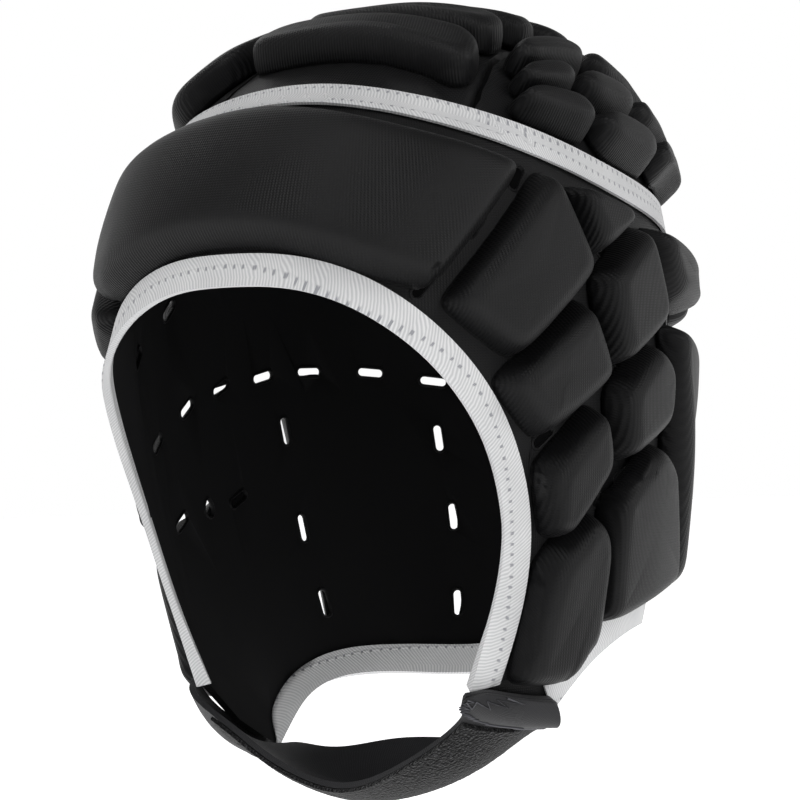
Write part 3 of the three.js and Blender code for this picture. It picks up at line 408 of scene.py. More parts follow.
@dataclass(frozen=True)
class TwillTape:
    """White cotton twill tape: matt, with fine slanting ribs and lines of lockstitch beside its edges; its rib
    grooves and stitch dimples are drawn darker as painted shade.
    """

    name: str = "cotton_twill_tape"
    colour: str = "#d6d6d6"
    shade: str = "#8c8d91"
    rib: float = 1.05
    slant: float = 0.75
    stitch_pitch: float = 3.1
    stitch_share: float = 0.74
    stitch_line: float = 6.9
    roughness: float = 0.85

    def material(self) -> bpy.types.Material:
        """Builds the tape's material.

        Returns:
            The material, which reads the map "band": millimetres along and across.
        """
        material, tree, shader = new_finish(self.name)
        along, across = split_map(tree, "band")
        slant = sums(tree, "DIVIDE", sums(tree, "MULTIPLY_ADD", across, self.slant, along), self.rib)
        ribs = sums(tree, "SINE", sums(tree, "MULTIPLY", slant, 2 * math.pi))
        reach = sums(tree, "ABSOLUTE", sums(tree, "SUBTRACT", sums(tree, "ABSOLUTE", across), self.stitch_line))
        near = add(tree, "MapRange", None, {0: reach, 1: 0.55, 2: 0.2}).outputs[0]
        beat = sums(tree, "FRACT", sums(tree, "DIVIDE", along, self.stitch_pitch))
        dash = sums(tree, "LESS_THAN", beat, self.stitch_share)
        stitch = sums(tree, "MULTIPLY", near, dash)
        pull = sums(tree, "MULTIPLY", near, sums(tree, "SUBTRACT", 1.0, dash))
        sewn = sums(tree, "SUBTRACT", sums(tree, "MULTIPLY", stitch, 1.1), sums(tree, "MULTIPLY", pull, 1.8))
        height = sums(tree, "ADD", sums(tree, "MULTIPLY", ribs, 0.3), sewn)
        # painted shade: the rib grooves and the dimples between stitches are drawn darker in the colour; the
        # noise adds random soiling on top
        shaded = sums(tree, "MULTIPLY_ADD", ribs, -0.22, 0.2)
        dark = sums(tree, "ADD", sums(tree, "MULTIPLY", pull, 0.8), shaded)
        soil_and_painted_shade = sums(tree, "MULTIPLY_ADD", noise(tree, 60.0, 3.0), 0.3, dark)
        fill(tree, shader, {
            "Base Color": mixed(tree, soil_and_painted_shade, self.colour, self.shade),
            "Normal": raised(tree, 0.7, 0.13, height),
            "Roughness": self.roughness,
            "Specular IOR Level": 0.25,
            "Sheen Weight": 0.1})
        return material


@dataclass(frozen=True)
class BrushedStrap:
    """Brushed nylon laminate of the strap: black, dull, with a fine crosswise grain."""

    name: str = "brushed_nylon_strap"
    colour: str = "#111113"
    nap: str = "#1d1d20"
    grain: float = 0.8
    roughness: float = 0.72

    def material(self) -> bpy.types.Material:
        """Builds the strap's material.

        Returns:
            The material, which reads the map "band".
        """
        material, tree, shader = new_finish(self.name)
        waves = [sums(tree, "SINE", sums(tree, "MULTIPLY", part, 2 * math.pi / self.grain))
                 for part in split_map(tree, "band")]
        fluff = sums(tree, "MULTIPLY", noise(tree, 900.0, 3.0), 0.8)
        height = sums(tree, "ADD", sums(tree, "MULTIPLY", *waves), fluff)
        fill(tree, shader, {
            "Base Color": mixed(tree, noise(tree, 70.0, 3.0), self.colour, self.nap),
            "Normal": raised(tree, 0.45, 0.1, height),
            "Roughness": self.roughness,
            "Specular IOR Level": 0.3,
            "Sheen Weight": 0.1})
        return material


@dataclass(frozen=True)
class LoopPile:
    """Knitted loop pile of a hook-and-loop fastening: black, deep and dull; the raised tops of its loops are
    drawn lighter as a painted highlight.
    """

    name: str = "loop_pile"
    colour: str = "#060607"
    tip_highlight: str = "#3a3a3f"
    loop: float = 0.9
    roughness: float = 0.95

    def material(self) -> bpy.types.Material:
        """Builds the pile's material.

        Returns:
            The material, on Object coordinates.
        """
        material, tree, shader = new_finish(self.name)
        spot = add(tree, "TexCoord")
        loops = add(tree, "TexVoronoi", None, {"Vector": spot.outputs["Object"], "Scale": 1 / (self.loop * MM)})
        height = sums(tree, "SUBTRACT", sums(tree, "MULTIPLY", noise(tree, 1400.0, 4.0), 1.2), loops.outputs[0])
        # painted highlight: the higher the pile, the lighter its colour, so the tops of the loops read lit and
        # the hollows shaded
        highlight_share = add(tree, "MapRange", None, {0: height, 1: 0.3, 2: 0.7}).outputs[0]
        fill(tree, shader, {
            "Base Color": mixed(tree, highlight_share, self.colour, self.tip_highlight),
            "Normal": raised(tree, 1.0, 0.5, height),
            "Roughness": self.roughness,
            "Specular IOR Level": 0.12,
            "Sheen Weight": 0.15})
        return material


@dataclass(frozen=True)
class SewingThread:
    """Black spun polyester thread, drawn a little brighter than the cloth it holds as a painted highlight."""

    name: str = "spun_polyester_thread"
    colour: str = "#303034"
    bright: str = "#48484e"
    roughness: float = 0.45

    def material(self) -> bpy.types.Material:
        """Builds the thread's material.

        Returns:
            The material, with a fine twist on Object coordinates.
        """
        material, tree, shader = new_finish(self.name)
        twist = noise(tree, 2200.0)
        fill(tree, shader, {
            # painted highlight: the black thread is given grey tones so that it reads lit against the cloth
            "Base Color": mixed(tree, twist, self.colour, self.bright),
            "Normal": raised(tree, 0.5, 0.08, twist),
            "Roughness": self.roughness})
        return material


# Camera, floor and lights


@dataclass
class Studio:
    """A pale sweep under soft light, with the camera at the product view."""

    azimuth: float = 32.3
    elevation: float = 0.2
    roll: float = -1.6
    distance: float = 0.9
    aim_height: float = -0.1147
    scale: float = 3.09
    image_centre: tuple[float, float] = (401.0, 400.0)
    sensor: float = 36.0
    floor_drop: float = 0.16
    floor_reach: float = 6.0
    floor_glow: float = 0.85
    ceiling: float = 0.16

    def camera(self) -> bpy.types.Object:
        """Makes the camera and sets it as the scene's.

        Returns:
            The camera.
        """
        azimuth, elevation, roll = (math.radians(v) for v in (self.azimuth, self.elevation, self.roll))
        back = Vector((math.sin(azimuth) * math.cos(elevation), -math.cos(azimuth) * math.cos(elevation),
                       math.sin(elevation)))
        level = Vector((math.cos(azimuth), math.sin(azimuth), 0.0))
        rise = back.cross(level)
        right = level * math.cos(roll) + rise * math.sin(roll)
        up = rise * math.cos(roll) - level * math.sin(roll)
        data = bpy.data.cameras.new("product_camera")
        data.sensor_width = self.sensor
        data.lens = self.scale / MM * self.distance * self.sensor / IMAGE_SIZE
        data.shift_x = (IMAGE_SIZE / 2 - self.image_centre[0]) / IMAGE_SIZE
        data.shift_y = (self.image_centre[1] - IMAGE_SIZE / 2) / IMAGE_SIZE
        camera = placed("product_camera", data)
        turn = Matrix((right, up, back)).transposed().to_4x4()
        camera.matrix_world = Matrix.Translation(Vector((0, 0, self.aim_height)) + back * self.distance) @ turn
        bpy.context.scene.camera = camera
        return camera

    def floor(self) -> bpy.types.Object:
        """Makes the pale sweep below the cap.

        Returns:
            The floor.
        """
        material, tree, shader = new_finish("painted_paper_sweep")
        fill(tree, shader, {
            "Base Color": mixed(tree, noise(tree, 300.0), "#fafafa", "#fdfdfd"),
            "Roughness": 0.9,
            "Emission Color": WHITE,
            "Emission Strength": self.floor_glow})
        low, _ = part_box("chin_strap")
        deselect()
        bpy.ops.mesh.primitive_circle_add(vertices=96, radius=self.floor_reach, fill_type="NGON",
                                          location=(0, 0, low[2] - self.floor_drop))
        floor = bpy.context.active_object
        floor.name = "studio_floor"
        bpy.ops.object.transform_apply(location=True)
        dress(floor, material)
        return floor

    def light(self, name: str, place: tuple[float, float, float], size: float, power: float) -> None:
        """Hangs a square soft light that faces the cap.

        Args:
            name: The light's name.
            place: Where it hangs, in metres.
            size: The side of its square.
            power: Its power in watts.
        """
        data = bpy.data.lights.new(name, "AREA")
        data.size = size
        data.energy = power
        lamp = placed(name, data)
        lamp.location = place
        aim = Vector((0, 0, self.aim_height)) - Vector(place)
        lamp.rotation_euler = aim.to_track_quat("-Z", "Y").to_euler()

    def build(self) -> None:
        """Makes the camera, the floor and the lights."""
        self.camera()
        self.floor()
        world = bpy.data.worlds.new("pale_room")
        world.use_nodes = True
        tree = world.node_tree
        spot = add(tree, "TexCoord")
        parts = add(tree, "SeparateXYZ", None, {0: spot.outputs["Generated"]})
        rise = add(tree, "MapRange", None, {0: parts.outputs[2], 1: 0.16, 2: 0.5, 3: 1.0, 4: self.ceiling})
        tree.links.new(rise.outputs[0], tree.nodes["Background"].inputs["Strength"])
        tree.nodes["Background"].inputs["Color"].default_value = WHITE
        bpy.context.scene.world = world
        bpy.context.scene.view_settings.view_transform = "Standard"
        self.light("key_light", (0.1, -1.1, 1.5), 0.8, 13.0)
        self.light("side_light", (1.7, 0.1, 0.9), 0.7, 11.0)
        self.light("rim_light", (-1.3, 0.7, 1.1), 0.7, 4.0)


# Foam pads


@dataclass
class FoamPads:
    """The moulded foam pads: each swells under the knit and flares out where it meets the shell."""

    levels: int = 2
    rings: tuple[float, float] = (0.84, 0.62)
    shoulder_crease: float = 0.25
    shoulder_angle: float = math.radians(24)
    spread: float = 1.1 * MM
    side_settle: float = 0.03
    crown_spread: float = 1.35 * MM
    least_spokes: int = 9
    underside: float = -0.4
    pressure: float = 4.0
    frames: int = 20
    most_swell: float = 0.9 * MM
    fullness: float = 0.45 * MM
    cheek_from: float = 0.165
    cheek_to: float = 0.2
    cheek_reach: float = 5.0 * MM
    foot_height: float = 3.0 * MM
    foot_flare: float = 0.5 * MM
    foot_drop: float = 0.66 * MM
    fill: float = 0.9

    def nodes(self) -> list[str]:
        """The names of the CAD nodes that are pads."""
        return [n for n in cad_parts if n.startswith(("pad_", "crown_pad_", "crown_bar_"))]

    def select_top(self, piece: bpy.types.Object, shell: BVHTree) -> Vector | None:
        """Selects the fan of faces that closes a pad's top.

        Args:
            piece: The pad.
            shell: The shell's surface.

        Returns:
            The fan's middle, or None where the pad has no fan.
        """
        mesh = piece.data
        spokes = np.zeros(len(mesh.vertices), dtype=int)
        for edge in mesh.edges:
            for vertex in edge.vertices:
                spokes[vertex] += 1
        hubs = np.nonzero(spokes >= self.least_spokes)[0]
        if len(hubs) == 0:
            return None
        hub = max(hubs, key=lambda v: shell.find_nearest(mesh.vertices[v].co)[3])
        for face in mesh.polygons:
            face.select = hub in face.vertices
        return mesh.vertices[hub].co.copy()

    def ring(self, piece: bpy.types.Object, middle: Vector, share: float) -> None:
        """Lays a ring of faces inside the selected top, drawn in towards its middle.

        Args:
            piece: The pad, in edit mode.
            middle: The top's middle.
            share: The new ring's reach, as a share of the old one's.
        """
        bpy.ops.mesh.inset(thickness=0.001 * MM)
        bpy.ops.object.mode_set(mode="OBJECT")
        for vertex in piece.data.vertices:
            if vertex.select:
                vertex.co = middle.lerp(vertex.co, share)
        bpy.ops.object.mode_set(mode="EDIT")

    def crease_foot(self, piece: bpy.types.Object, shell: BVHTree) -> None:
        """Creases the edges where a pad's sides meet its underside.

        Args:
            piece: The pad, which is changed.
            shell: The shell's surface.
        """
        mesh = piece.data
        under = set()
        edges: dict[tuple[int, int], list[int]] = {}
        for face in mesh.polygons:
            out = shell.find_nearest(face.center)[1]
            if face.normal.dot(out) < self.underside:
                under.add(face.index)
            for key in face.edge_keys:
                edges.setdefault(key, []).append(face.index)
        crease = mesh.attributes.new("crease_edge", "FLOAT", "EDGE")
        for edge in mesh.edges:
            beside = edges[edge.key]
            if sum(f in under for f in beside) == 1:
                crease.data[edge.index].value = 1.0
            elif len(beside) == 2 and not under.intersection(beside):
                first, second = (mesh.polygons[f].normal for f in beside)
                if first.angle(second) > self.shoulder_angle:
                    crease.data[edge.index].value = self.shoulder_crease

    def moulded(self, node: str, shell: BVHTree) -> bpy.types.Object:
        """Makes an even, rounded mesh of a pad from its CAD solid.

        Args:
            node: The pad's CAD node.
            shell: The shell's surface.

        Returns:
            The new piece.
        """
        piece = cad_copy(node, "foam_" + node)
        bpy.ops.object.mode_set(mode="EDIT")
        bpy.ops.mesh.select_all(action="DESELECT")
        bpy.ops.object.mode_set(mode="OBJECT")
        middle = self.select_top(piece, shell)
        bpy.ops.object.mode_set(mode="EDIT")
        bpy.ops.mesh.select_mode(type="FACE")
        if middle is not None:
            bpy.ops.mesh.dissolve_faces()
            for share in self.rings:
                self.ring(piece, middle, share)
        bpy.ops.mesh.select_all(action="SELECT")
        bpy.ops.mesh.tris_convert_to_quads(face_threshold=math.radians(50), shape_threshold=math.radians(75))
        bpy.ops.object.mode_set(mode="OBJECT")
        self.crease_foot(piece, shell)
        apply_modifier(piece, "SUBSURF", levels=self.levels, render_levels=self.levels)
        return piece

    def swollen(self, pieces: list[bpy.types.Object], shell: BVHTree) -> None:
        """Blows all the pads up a little with cloth pressure, held at their feet.

        Args:
            pieces: The pads, which are changed.
            shell: The shell's surface.
        """
        points, faces, starts = [], [], []
        total = 0
        for piece in pieces:
            starts.append(total)
            points.append(places(piece.data))
            faces += [[total + v for v in face.vertices] for face in piece.data.polygons]
            total += len(piece.data.vertices)
        before = np.vstack(points)
        mesh = bpy.data.meshes.new("swelling_pads")
        mesh.from_pydata(before.tolist(), [], faces)
        body = placed("swelling_pads", mesh)
        heights = np.array([shell.find_nearest(Vector(p))[3] for p in before])
        group = body.vertex_groups.new(name="foot")
        for index in np.nonzero(heights < self.foot_height)[0]:
            group.add([int(index)], 1.0, "REPLACE")
        activate(body)
        cloth = body.modifiers.new("cloth", "CLOTH")
        cloth.settings.use_pressure = True
        cloth.settings.uniform_pressure_force = self.pressure
        cloth.settings.effector_weights.gravity = 0
        cloth.settings.vertex_group_mass = "foot"
        cloth.settings.tension_stiffness = 40
        cloth.settings.compression_stiffness = 40
        cloth.settings.quality = 4
        scene = bpy.context.scene
        for number in range(1, self.frames + 1):
            scene.frame_set(number)
        shape = body.evaluated_get(bpy.context.evaluated_depsgraph_get()).data
        move = places(shape) - before
        scene.frame_set(1)
        size = np.linalg.norm(move, axis=1, keepdims=True)
        move *= np.minimum(1.0, self.most_swell / np.maximum(size, 1e-9))
        after = before + move
        for piece, start in zip(pieces, starts):
            place_all(piece.data, after[start:start + len(piece.data.vertices)])
        bpy.data.objects.remove(body)
        bpy.data.meshes.remove(mesh)

    def seated(self, piece: bpy.types.Object, shell: BVHTree) -> None:
        """Flares a pad's foot out and down onto the shell, as knit does where it is pressed flat.

        Args:
            piece: The pad, which is changed.
            shell: The shell's surface.
        """
        points = places(piece.data)
        normals = normals_of(piece.data)
        found = [shell.find_nearest(Vector(p)) for p in points]
        out = np.array([f[1] for f in found])
        height = np.array([f[3] for f in found])
        low = np.clip(1 - height / self.foot_height, 0, 1)[:, None]
        aside = normals - out * np.sum(normals * out, axis=1, keepdims=True)
        on_crown = piece.name.startswith("foam_crown")
        spread = self.crown_spread if on_crown else self.spread
        settle = 0.0 if on_crown or piece.name == "foam_pad_forehead" else self.side_settle
        points += aside * (spread + low ** 2 * self.foot_flare) - out * low * self.foot_drop
        points -= out * height[:, None] * settle
        points += normals * (1 - low) * self.fullness
        if "cheek" in piece.name:
            down = np.array([0.0, 0.0, -1.0]) + out * out[:, 2:]
            points += down * ramp(-points[:, 2], self.cheek_from, self.cheek_to)[:, None] * self.cheek_reach
        place_all(piece.data, points)

    def finished(self, piece: bpy.types.Object, material: bpy.types.Material, node: str,
                 shell: BVHTree) -> None:
        """Subdivides a pad, maps it, dresses it and hands it over.

        Args:
            piece: The pad.
            material: Its knit.
            node: The CAD node that it stands for.
            shell: The shell's surface.
        """
        apply_modifier(piece, "SUBSURF", levels=1, render_levels=1)
        bpy.ops.object.shade_smooth()
        normals = normals_of(piece.data)
        out = np.array([shell.find_nearest(Vector(p))[1] for p in places(piece.data)])
        slope = np.clip(1.15 - np.sum(normals * out, axis=1) * 1.3, 0, 1)
        set_numbers(piece.data, "slope", slope)
        lay_flat(piece, Chart.ROUND if node == "pad_forehead" else Chart.FACING)
        dress(piece, material)
        hand_over(piece, "pad_fabric", node)

    def build(self, shell: BVHTree) -> None:
        """Builds every pad.

        Args:
            shell: The shell's surface.
        """
        material = KnitOverFoam().material()
        nodes = self.nodes()
        pieces = [self.moulded(node, shell) for node in nodes]
        self.swollen(pieces, shell)
        for piece, node in zip(pieces, nodes):
            self.seated(piece, shell)
            self.finished(piece, material, node, shell)


# Shell


def rim_lines() -> dict[str, np.ndarray]:
    """Finds the rim of the face opening and of the hem, from the bindings that cover them.

    Returns:
        The rim's points in order, by the binding's node.
    """
    lines = {}
    points = places(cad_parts["face_binding"].data)
    middle = np.array([0.0, -0.155])
    flat = points[:, [0, 2]] - middle
    angles = np.arctan2(flat[:, 0], flat[:, 1])
    lines["face_binding"] = line_by_angle(
        points, angles, lambda rows: rows[np.linalg.norm(rows[:, [0, 2]] - middle, axis=1).argmin()], 60)
    for node in ("neck_binding_left", "neck_binding_right"):
        points = places(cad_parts[node].data)
        angles = np.arctan2(np.abs(points[:, 0]), -points[:, 1])
        lines[node] = line_by_angle(points, angles, lambda rows: rows[rows[:, 2].argmin()], 40)
    return lines


def ramp(values: np.ndarray, low: float, high: float) -> np.ndarray:
    """A smooth step from 0 at low to 1 at high."""
    share = np.clip((values - low) / (high - low), 0, 1)
    return share * share * (3 - 2 * share)


@dataclass
class PinchedRim:
    """The rim, where the binding squeezes the foam laminate thin."""

    least: float = 0.3
    from_rim: float = 3 * MM
    to_rim: float = 16 * MM
    deepest: float = 5 * MM
    rise_share: float = 0.4
    least_facing: float = 0.35

    def outside(self) -> BVHTree:
        """The CAD side shell's outer face alone.

        Returns:
            A tree of its triangles.
        """
        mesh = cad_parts["side_shell"].data
        faces = []
        for face in mesh.polygons:
            out = face.center - HEAD_MIDDLE
            out.z *= self.rise_share
            if face.normal.dot(out.normalized()) > self.least_facing:
                faces.append(list(face.vertices))
        return BVHTree.FromPolygons([v.co.copy() for v in mesh.vertices], faces)

    def squeeze(self, piece: bpy.types.Object, vents: Sequence[Vector] = ()) -> None:
        """Draws what lies inside the shell's outer face towards it, near the rim and the vents.

        Args:
            piece: The shell or a binding, which is changed.
            vents: The corners of the vents.
        """
        tree = self.outside()
        rims = np.vstack(list(rim_lines().values()) + [np.array(corner)[None] for corner in vents])
        points = places(piece.data)
        for index, point in enumerate(points):
            spot, out, _, distance = tree.find_nearest(Vector(point))
            height = (Vector(point) - spot).dot(out)
            if height >= 0 or distance > self.deepest:
                continue
            gap = np.linalg.norm(rims - point, axis=1).min()
            keep = self.least + (1 - self.least) * float(ramp(gap, self.from_rim, self.to_rim))
            points[index] -= np.array(out) * height * (1 - keep)
        place_all(piece.data, points)


@dataclass
class VentCollars:
    """The welded rings round the vents: one slot's ring, copied, and one round the ear hole."""

    half_straight: float = 3.25 * MM
    radius: float = 1.85 * MM
    wall: float = 0.5 * MM
    depth: float = 0.25 * MM
    sink: float = 0.4 * MM
    longest_loop: float = 32 * MM
    ear_growth: float = 1.07
    arc_steps: int = 8
    sharp: float = math.radians(50)
    facing: float = 0.6
    merge_reach: float = 0.005 * MM
    corner_turn: float = math.radians(25)

    def stadium(self) -> list[Vector]:
        """The slot's outline: two half rounds and two straights."""
        outline = []
        for end in (1, -1):
            for step in range(self.arc_steps + 1):
                angle = -math.pi / 2 + math.pi * step / self.arc_steps + (0 if end == 1 else math.pi)
                outline.append(Vector((end * self.half_straight + self.radius * math.cos(angle),
                                       self.radius * math.sin(angle), 0)))
        return outline

    def ring(self, outline: list[Vector], name: str) -> bpy.types.Object:
        """Makes a flat ring with a rounded wall along an outline.

        Args:
            outline: The closed outline in its own plane.
            name: The ring's name.

        Returns:
            The ring, as a mesh.
        """
        curve = bpy.data.curves.new(name, "CURVE")
        curve.dimensions = "2D"
        curve.fill_mode = "NONE"
        curve.extrude = self.depth
        curve.bevel_depth = self.wall
        curve.bevel_resolution = 1
        spline = curve.splines.new("POLY")
        spline.points.add(len(outline) - 1)
        for point, place in zip(spline.points, outline):
            point.co = (*place, 1.0)
        spline.use_cyclic_u = True
        activate(placed(name, curve))
        bpy.ops.object.convert(target="MESH")
        return bpy.context.active_object

    def loops(self, shell: bpy.types.Object) -> list[list[Vector]]:
        """Finds the vents' outer edges on the shell.

        Args:
            shell: The merged shell.

        Returns:
            A closed run of corners for each vent.
        """
        mesh = shell.data
        beside: dict[tuple[int, int], list[int]] = {}
        for face in mesh.polygons:
            for key in face.edge_keys:
                beside.setdefault(key, []).append(face.index)
        nearby: dict[int, list[int]] = {}
        for (a, b), faces in beside.items():
            first, second = (mesh.polygons[f] for f in faces)
            outward = [f.normal.dot((f.center - HEAD_MIDDLE).normalized()) > self.facing
                       for f in (first, second)]
            if first.normal.angle(second.normal) > self.sharp and outward[0] != outward[1]:
                nearby.setdefault(a, []).append(b)
                nearby.setdefault(b, []).append(a)
        found, seen = [], set()
        for start in nearby:
            if start in seen:
                continue
            loop, current = [], start
            while current is not None:
                seen.add(current)
                loop.append(mesh.vertices[current].co.copy())
                current = next((n for n in nearby[current] if n not in seen), None)
            around = sum((loop[i] - loop[i - 1]).length for i in range(len(loop)))
            if len(loop) > 3 and around < self.longest_loop:
                found.append(loop)
        return found

    def corners(self, loop: list[Vector]) -> list[Vector]:
        """Leaves out the points of a loop that lie on a straight."""
        kept = []
        for i, point in enumerate(loop):
            before, after = point - loop[i - 1], loop[(i + 1) % len(loop)] - point
            if before.angle(after) > self.corner_turn:
                kept.append(point)
        return kept

    def build(self, shell: bpy.types.Object, outside: BVHTree, material: bpy.types.Material) -> list[Vector]:
        """Builds all the collars as one piece.

        Args:
            shell: The merged shell with its vents.
            outside: The shell's outer face.
            material: The welded knit.

        Returns:
            The corners of all the vents.
        """
        slot = self.ring(self.stadium(), "slot_collar")
        parts, edge = [], []
        for number, loop in enumerate(self.loops(shell)):
            corners = self.corners(loop)
            edge += loop
            middle = sum(corners, Vector()) / len(corners)
            _, out, _, _ = outside.find_nearest(middle)
            spans = [(corners[i] - corners[i - 1]) for i in range(len(corners))]
            along = max(spans, key=lambda v: v.length).normalized()
            across = out.cross(along).normalized()
            turn = Matrix((along, across, out)).transposed().to_4x4()
            place = Matrix.Translation(middle - out * self.sink) @ turn
            if len(corners) == 4:
                mesh = slot.data.copy()
            else:
                back = place.inverted()
                flat = [back @ c for c in corners]
                grown = [Vector((p.x * self.ear_growth, p.y * self.ear_growth, 0)) for p in flat]
                ring = self.ring(self.rounded(grown), "ear_collar")
                mesh = ring.data.copy()
                bpy.data.objects.remove(ring)
            mesh.transform(place)
            parts.append(placed(f"collar_{number}", mesh))
        bpy.data.objects.remove(slot)
        activate(parts[0])
        for part in parts:
            part.select_set(True)
        bpy.ops.object.join()
        collars = bpy.context.active_object
        collars.name = "vent_collars"
        with editing(collars):
            bpy.ops.mesh.remove_doubles(threshold=self.merge_reach)
            bpy.ops.mesh.normals_make_consistent(inside=False)
        bpy.ops.object.shade_smooth_by_angle(angle=math.radians(40))
        set_numbers(collars.data, "slope", np.zeros(len(collars.data.vertices)))
        lay_flat(collars, Chart.ROUND)
        collars.data.materials.clear()
        dress(collars, material)
        hand_over(collars, "shell_fabric")
        LOG.info("vents found: %d", len(parts))
        return edge

    def rounded(self, outline: list[Vector]) -> list[Vector]:
        """Cuts an outline's corners twice."""
        for _ in range(2):
            cut = []
            for i, point in enumerate(outline):
                after = outline[(i + 1) % len(outline)]
                cut += [point.lerp(after, 0.25), point.lerp(after, 0.75)]
            outline = cut
        return outline


@dataclass
class LaminateShell:
    """The thin laminate that carries the pads: side shell, three crown panels and the welded vent collars."""

    smooth_angle: float = math.radians(38)

    def surface(self) -> BVHTree:
        """The outside and inside of the CAD shell, to find heights over it.

        Returns:
            A tree of the shell's and panels' triangles.
        """
        points: list[Vector] = []
        faces: list[list[int]] = []
        for node in SHELL_NODES:
            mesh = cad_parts[node].data
            start = len(points)
            points += [v.co.copy() for v in mesh.vertices]
            faces += [[start + v for v in face.vertices] for face in mesh.polygons]
        return BVHTree.FromPolygons(points, faces)

    def panel(self, node: str, outside: bpy.types.Material, inside: bpy.types.Material) -> bpy.types.Object:
        """Makes one laminate piece, knit outside and lining inside.

        Args:
            node: The CAD node.
            outside: The knit.
            inside: The lining.

        Returns:
            The piece.
        """
        piece = cad_copy(node, "laminate_" + node)
        if node == "side_shell":
            rim = PinchedRim()
            vents = VentCollars().build(piece, rim.outside(), outside)
            rim.squeeze(piece, vents)
            activate(piece)
        bpy.ops.object.shade_smooth_by_angle(angle=self.smooth_angle)
        dress(piece, outside, inside)
        middle = Vector((0.0, 0.0, -0.09))
        for face in piece.data.polygons:
            face.material_index = 1 if face.normal.dot(face.center - middle) < 0 else 0
        set_numbers(piece.data, "slope", np.zeros(len(piece.data.vertices)))
        lay_flat(piece, Chart.ROUND if node == "side_shell" else Chart.PLAN)
        hand_over(piece, "shell_fabric", node)
        return piece

    def build(self) -> None:
        """Builds the shell and the crown panels."""
        outside = KnitOverFoam(name="warp_knit_on_laminate", colour="#0b0b0c", worn="#111112",
                               gloss=0.14).material()
        inside = SmoothLining().material()
        for node in SHELL_NODES:
            self.panel(node, outside, inside)


# Trims and strap


@dataclass
class Band:
    """A strip that runs along a line: its chart gives millimetres along and across."""

    line: np.ndarray

    def chart(self, points: np.ndarray, signed_by: Callable[[np.ndarray], np.ndarray] | None) -> np.ndarray:
        """Lays points out flat along the line.

        Args:
            points: Rows of x, y and z.
            signed_by: Gives each offset from the line its side, or None for distances alone.

        Returns:
            Millimetres along and across for each point.
        """
        start, end = self.line[:-1], self.line[1:]
        run = end - start
        lengths = np.linalg.norm(run, axis=1)
        before = np.concatenate([[0.0], np.cumsum(lengths)[:-1]])
        share = np.einsum("nmk,mk->nm", points[:, None] - start[None], run) / lengths ** 2
        share = np.clip(share, 0, 1)
        foot = start[None] + share[..., None] * run[None]
        gap = np.linalg.norm(points[:, None] - foot, axis=2)
        best = gap.argmin(axis=1)
        rows = np.arange(len(points))
        along = before[best] + share[rows, best] * lengths[best]
        offset = points - foot[rows, best]
        side = signed_by(offset) if signed_by else 1.0
        return np.column_stack([along, gap[rows, best] * side]) / MM


def line_by_angle(points: np.ndarray, angles: np.ndarray, pick: Callable[[np.ndarray], np.ndarray],
                  steps: int = 96) -> np.ndarray:
    """Finds a strip's line from its own points, in order of an angle.

    Args:
        points: Rows of x, y and z.
        angles: An angle for each point that grows along the strip.
        pick: Gives the line's point from the points of one step.
        steps: How many steps the strip is cut into.

    Returns:
        The line's points in order.
    """
    edges = np.linspace(angles.min() - 1e-6, angles.max() + 1e-6, steps + 1)
    line = []
    for low, high in zip(edges[:-1], edges[1:]):
        inside = points[(angles >= low) & (angles < high)]
        if len(inside):
            line.append(pick(inside))
    return np.array(line)


def evened(line: np.ndarray, closed: bool = False, times: int = 8) -> np.ndarray:
    """Draws a line's points towards their neighbours, so that it runs without jogs.

    Args:
        line: The line's points in order.
        closed: Whether the line ends where it starts.
        times: How often the points are drawn in.

    Returns:
        The evened line.
    """
    line = line[:-1].copy() if closed else line.copy()
    for _ in range(times):
        drawn = (np.roll(line, 1, axis=0) + 2 * line + np.roll(line, -1, axis=0)) / 4
        if not closed:
            drawn[[0, -1]] = line[[0, -1]]
        line = drawn
    return np.vstack([line, line[:1]]) if closed else line


def softened(piece: bpy.types.Object, levels: int) -> None:
    """Turns a strip's triangles to quads, creases its edges and subdivides it.

    Args:
        piece: The strip, which is changed.
        levels: How many times it is subdivided.
    """
    with editing(piece):
        bpy.ops.mesh.tris_convert_to_quads(face_threshold=math.radians(60), shape_threshold=math.radians(70))
        bpy.ops.mesh.select_all(action="DESELECT")
        bpy.ops.mesh.select_mode(type="EDGE")
        bpy.ops.mesh.edges_select_sharp(sharpness=math.radians(50))
        bpy.ops.transform.edge_crease(value=1.0)
    apply_modifier(piece, "SUBSURF", levels=levels, render_levels=levels)
    bpy.ops.object.shade_smooth_by_angle(angle=math.radians(40))


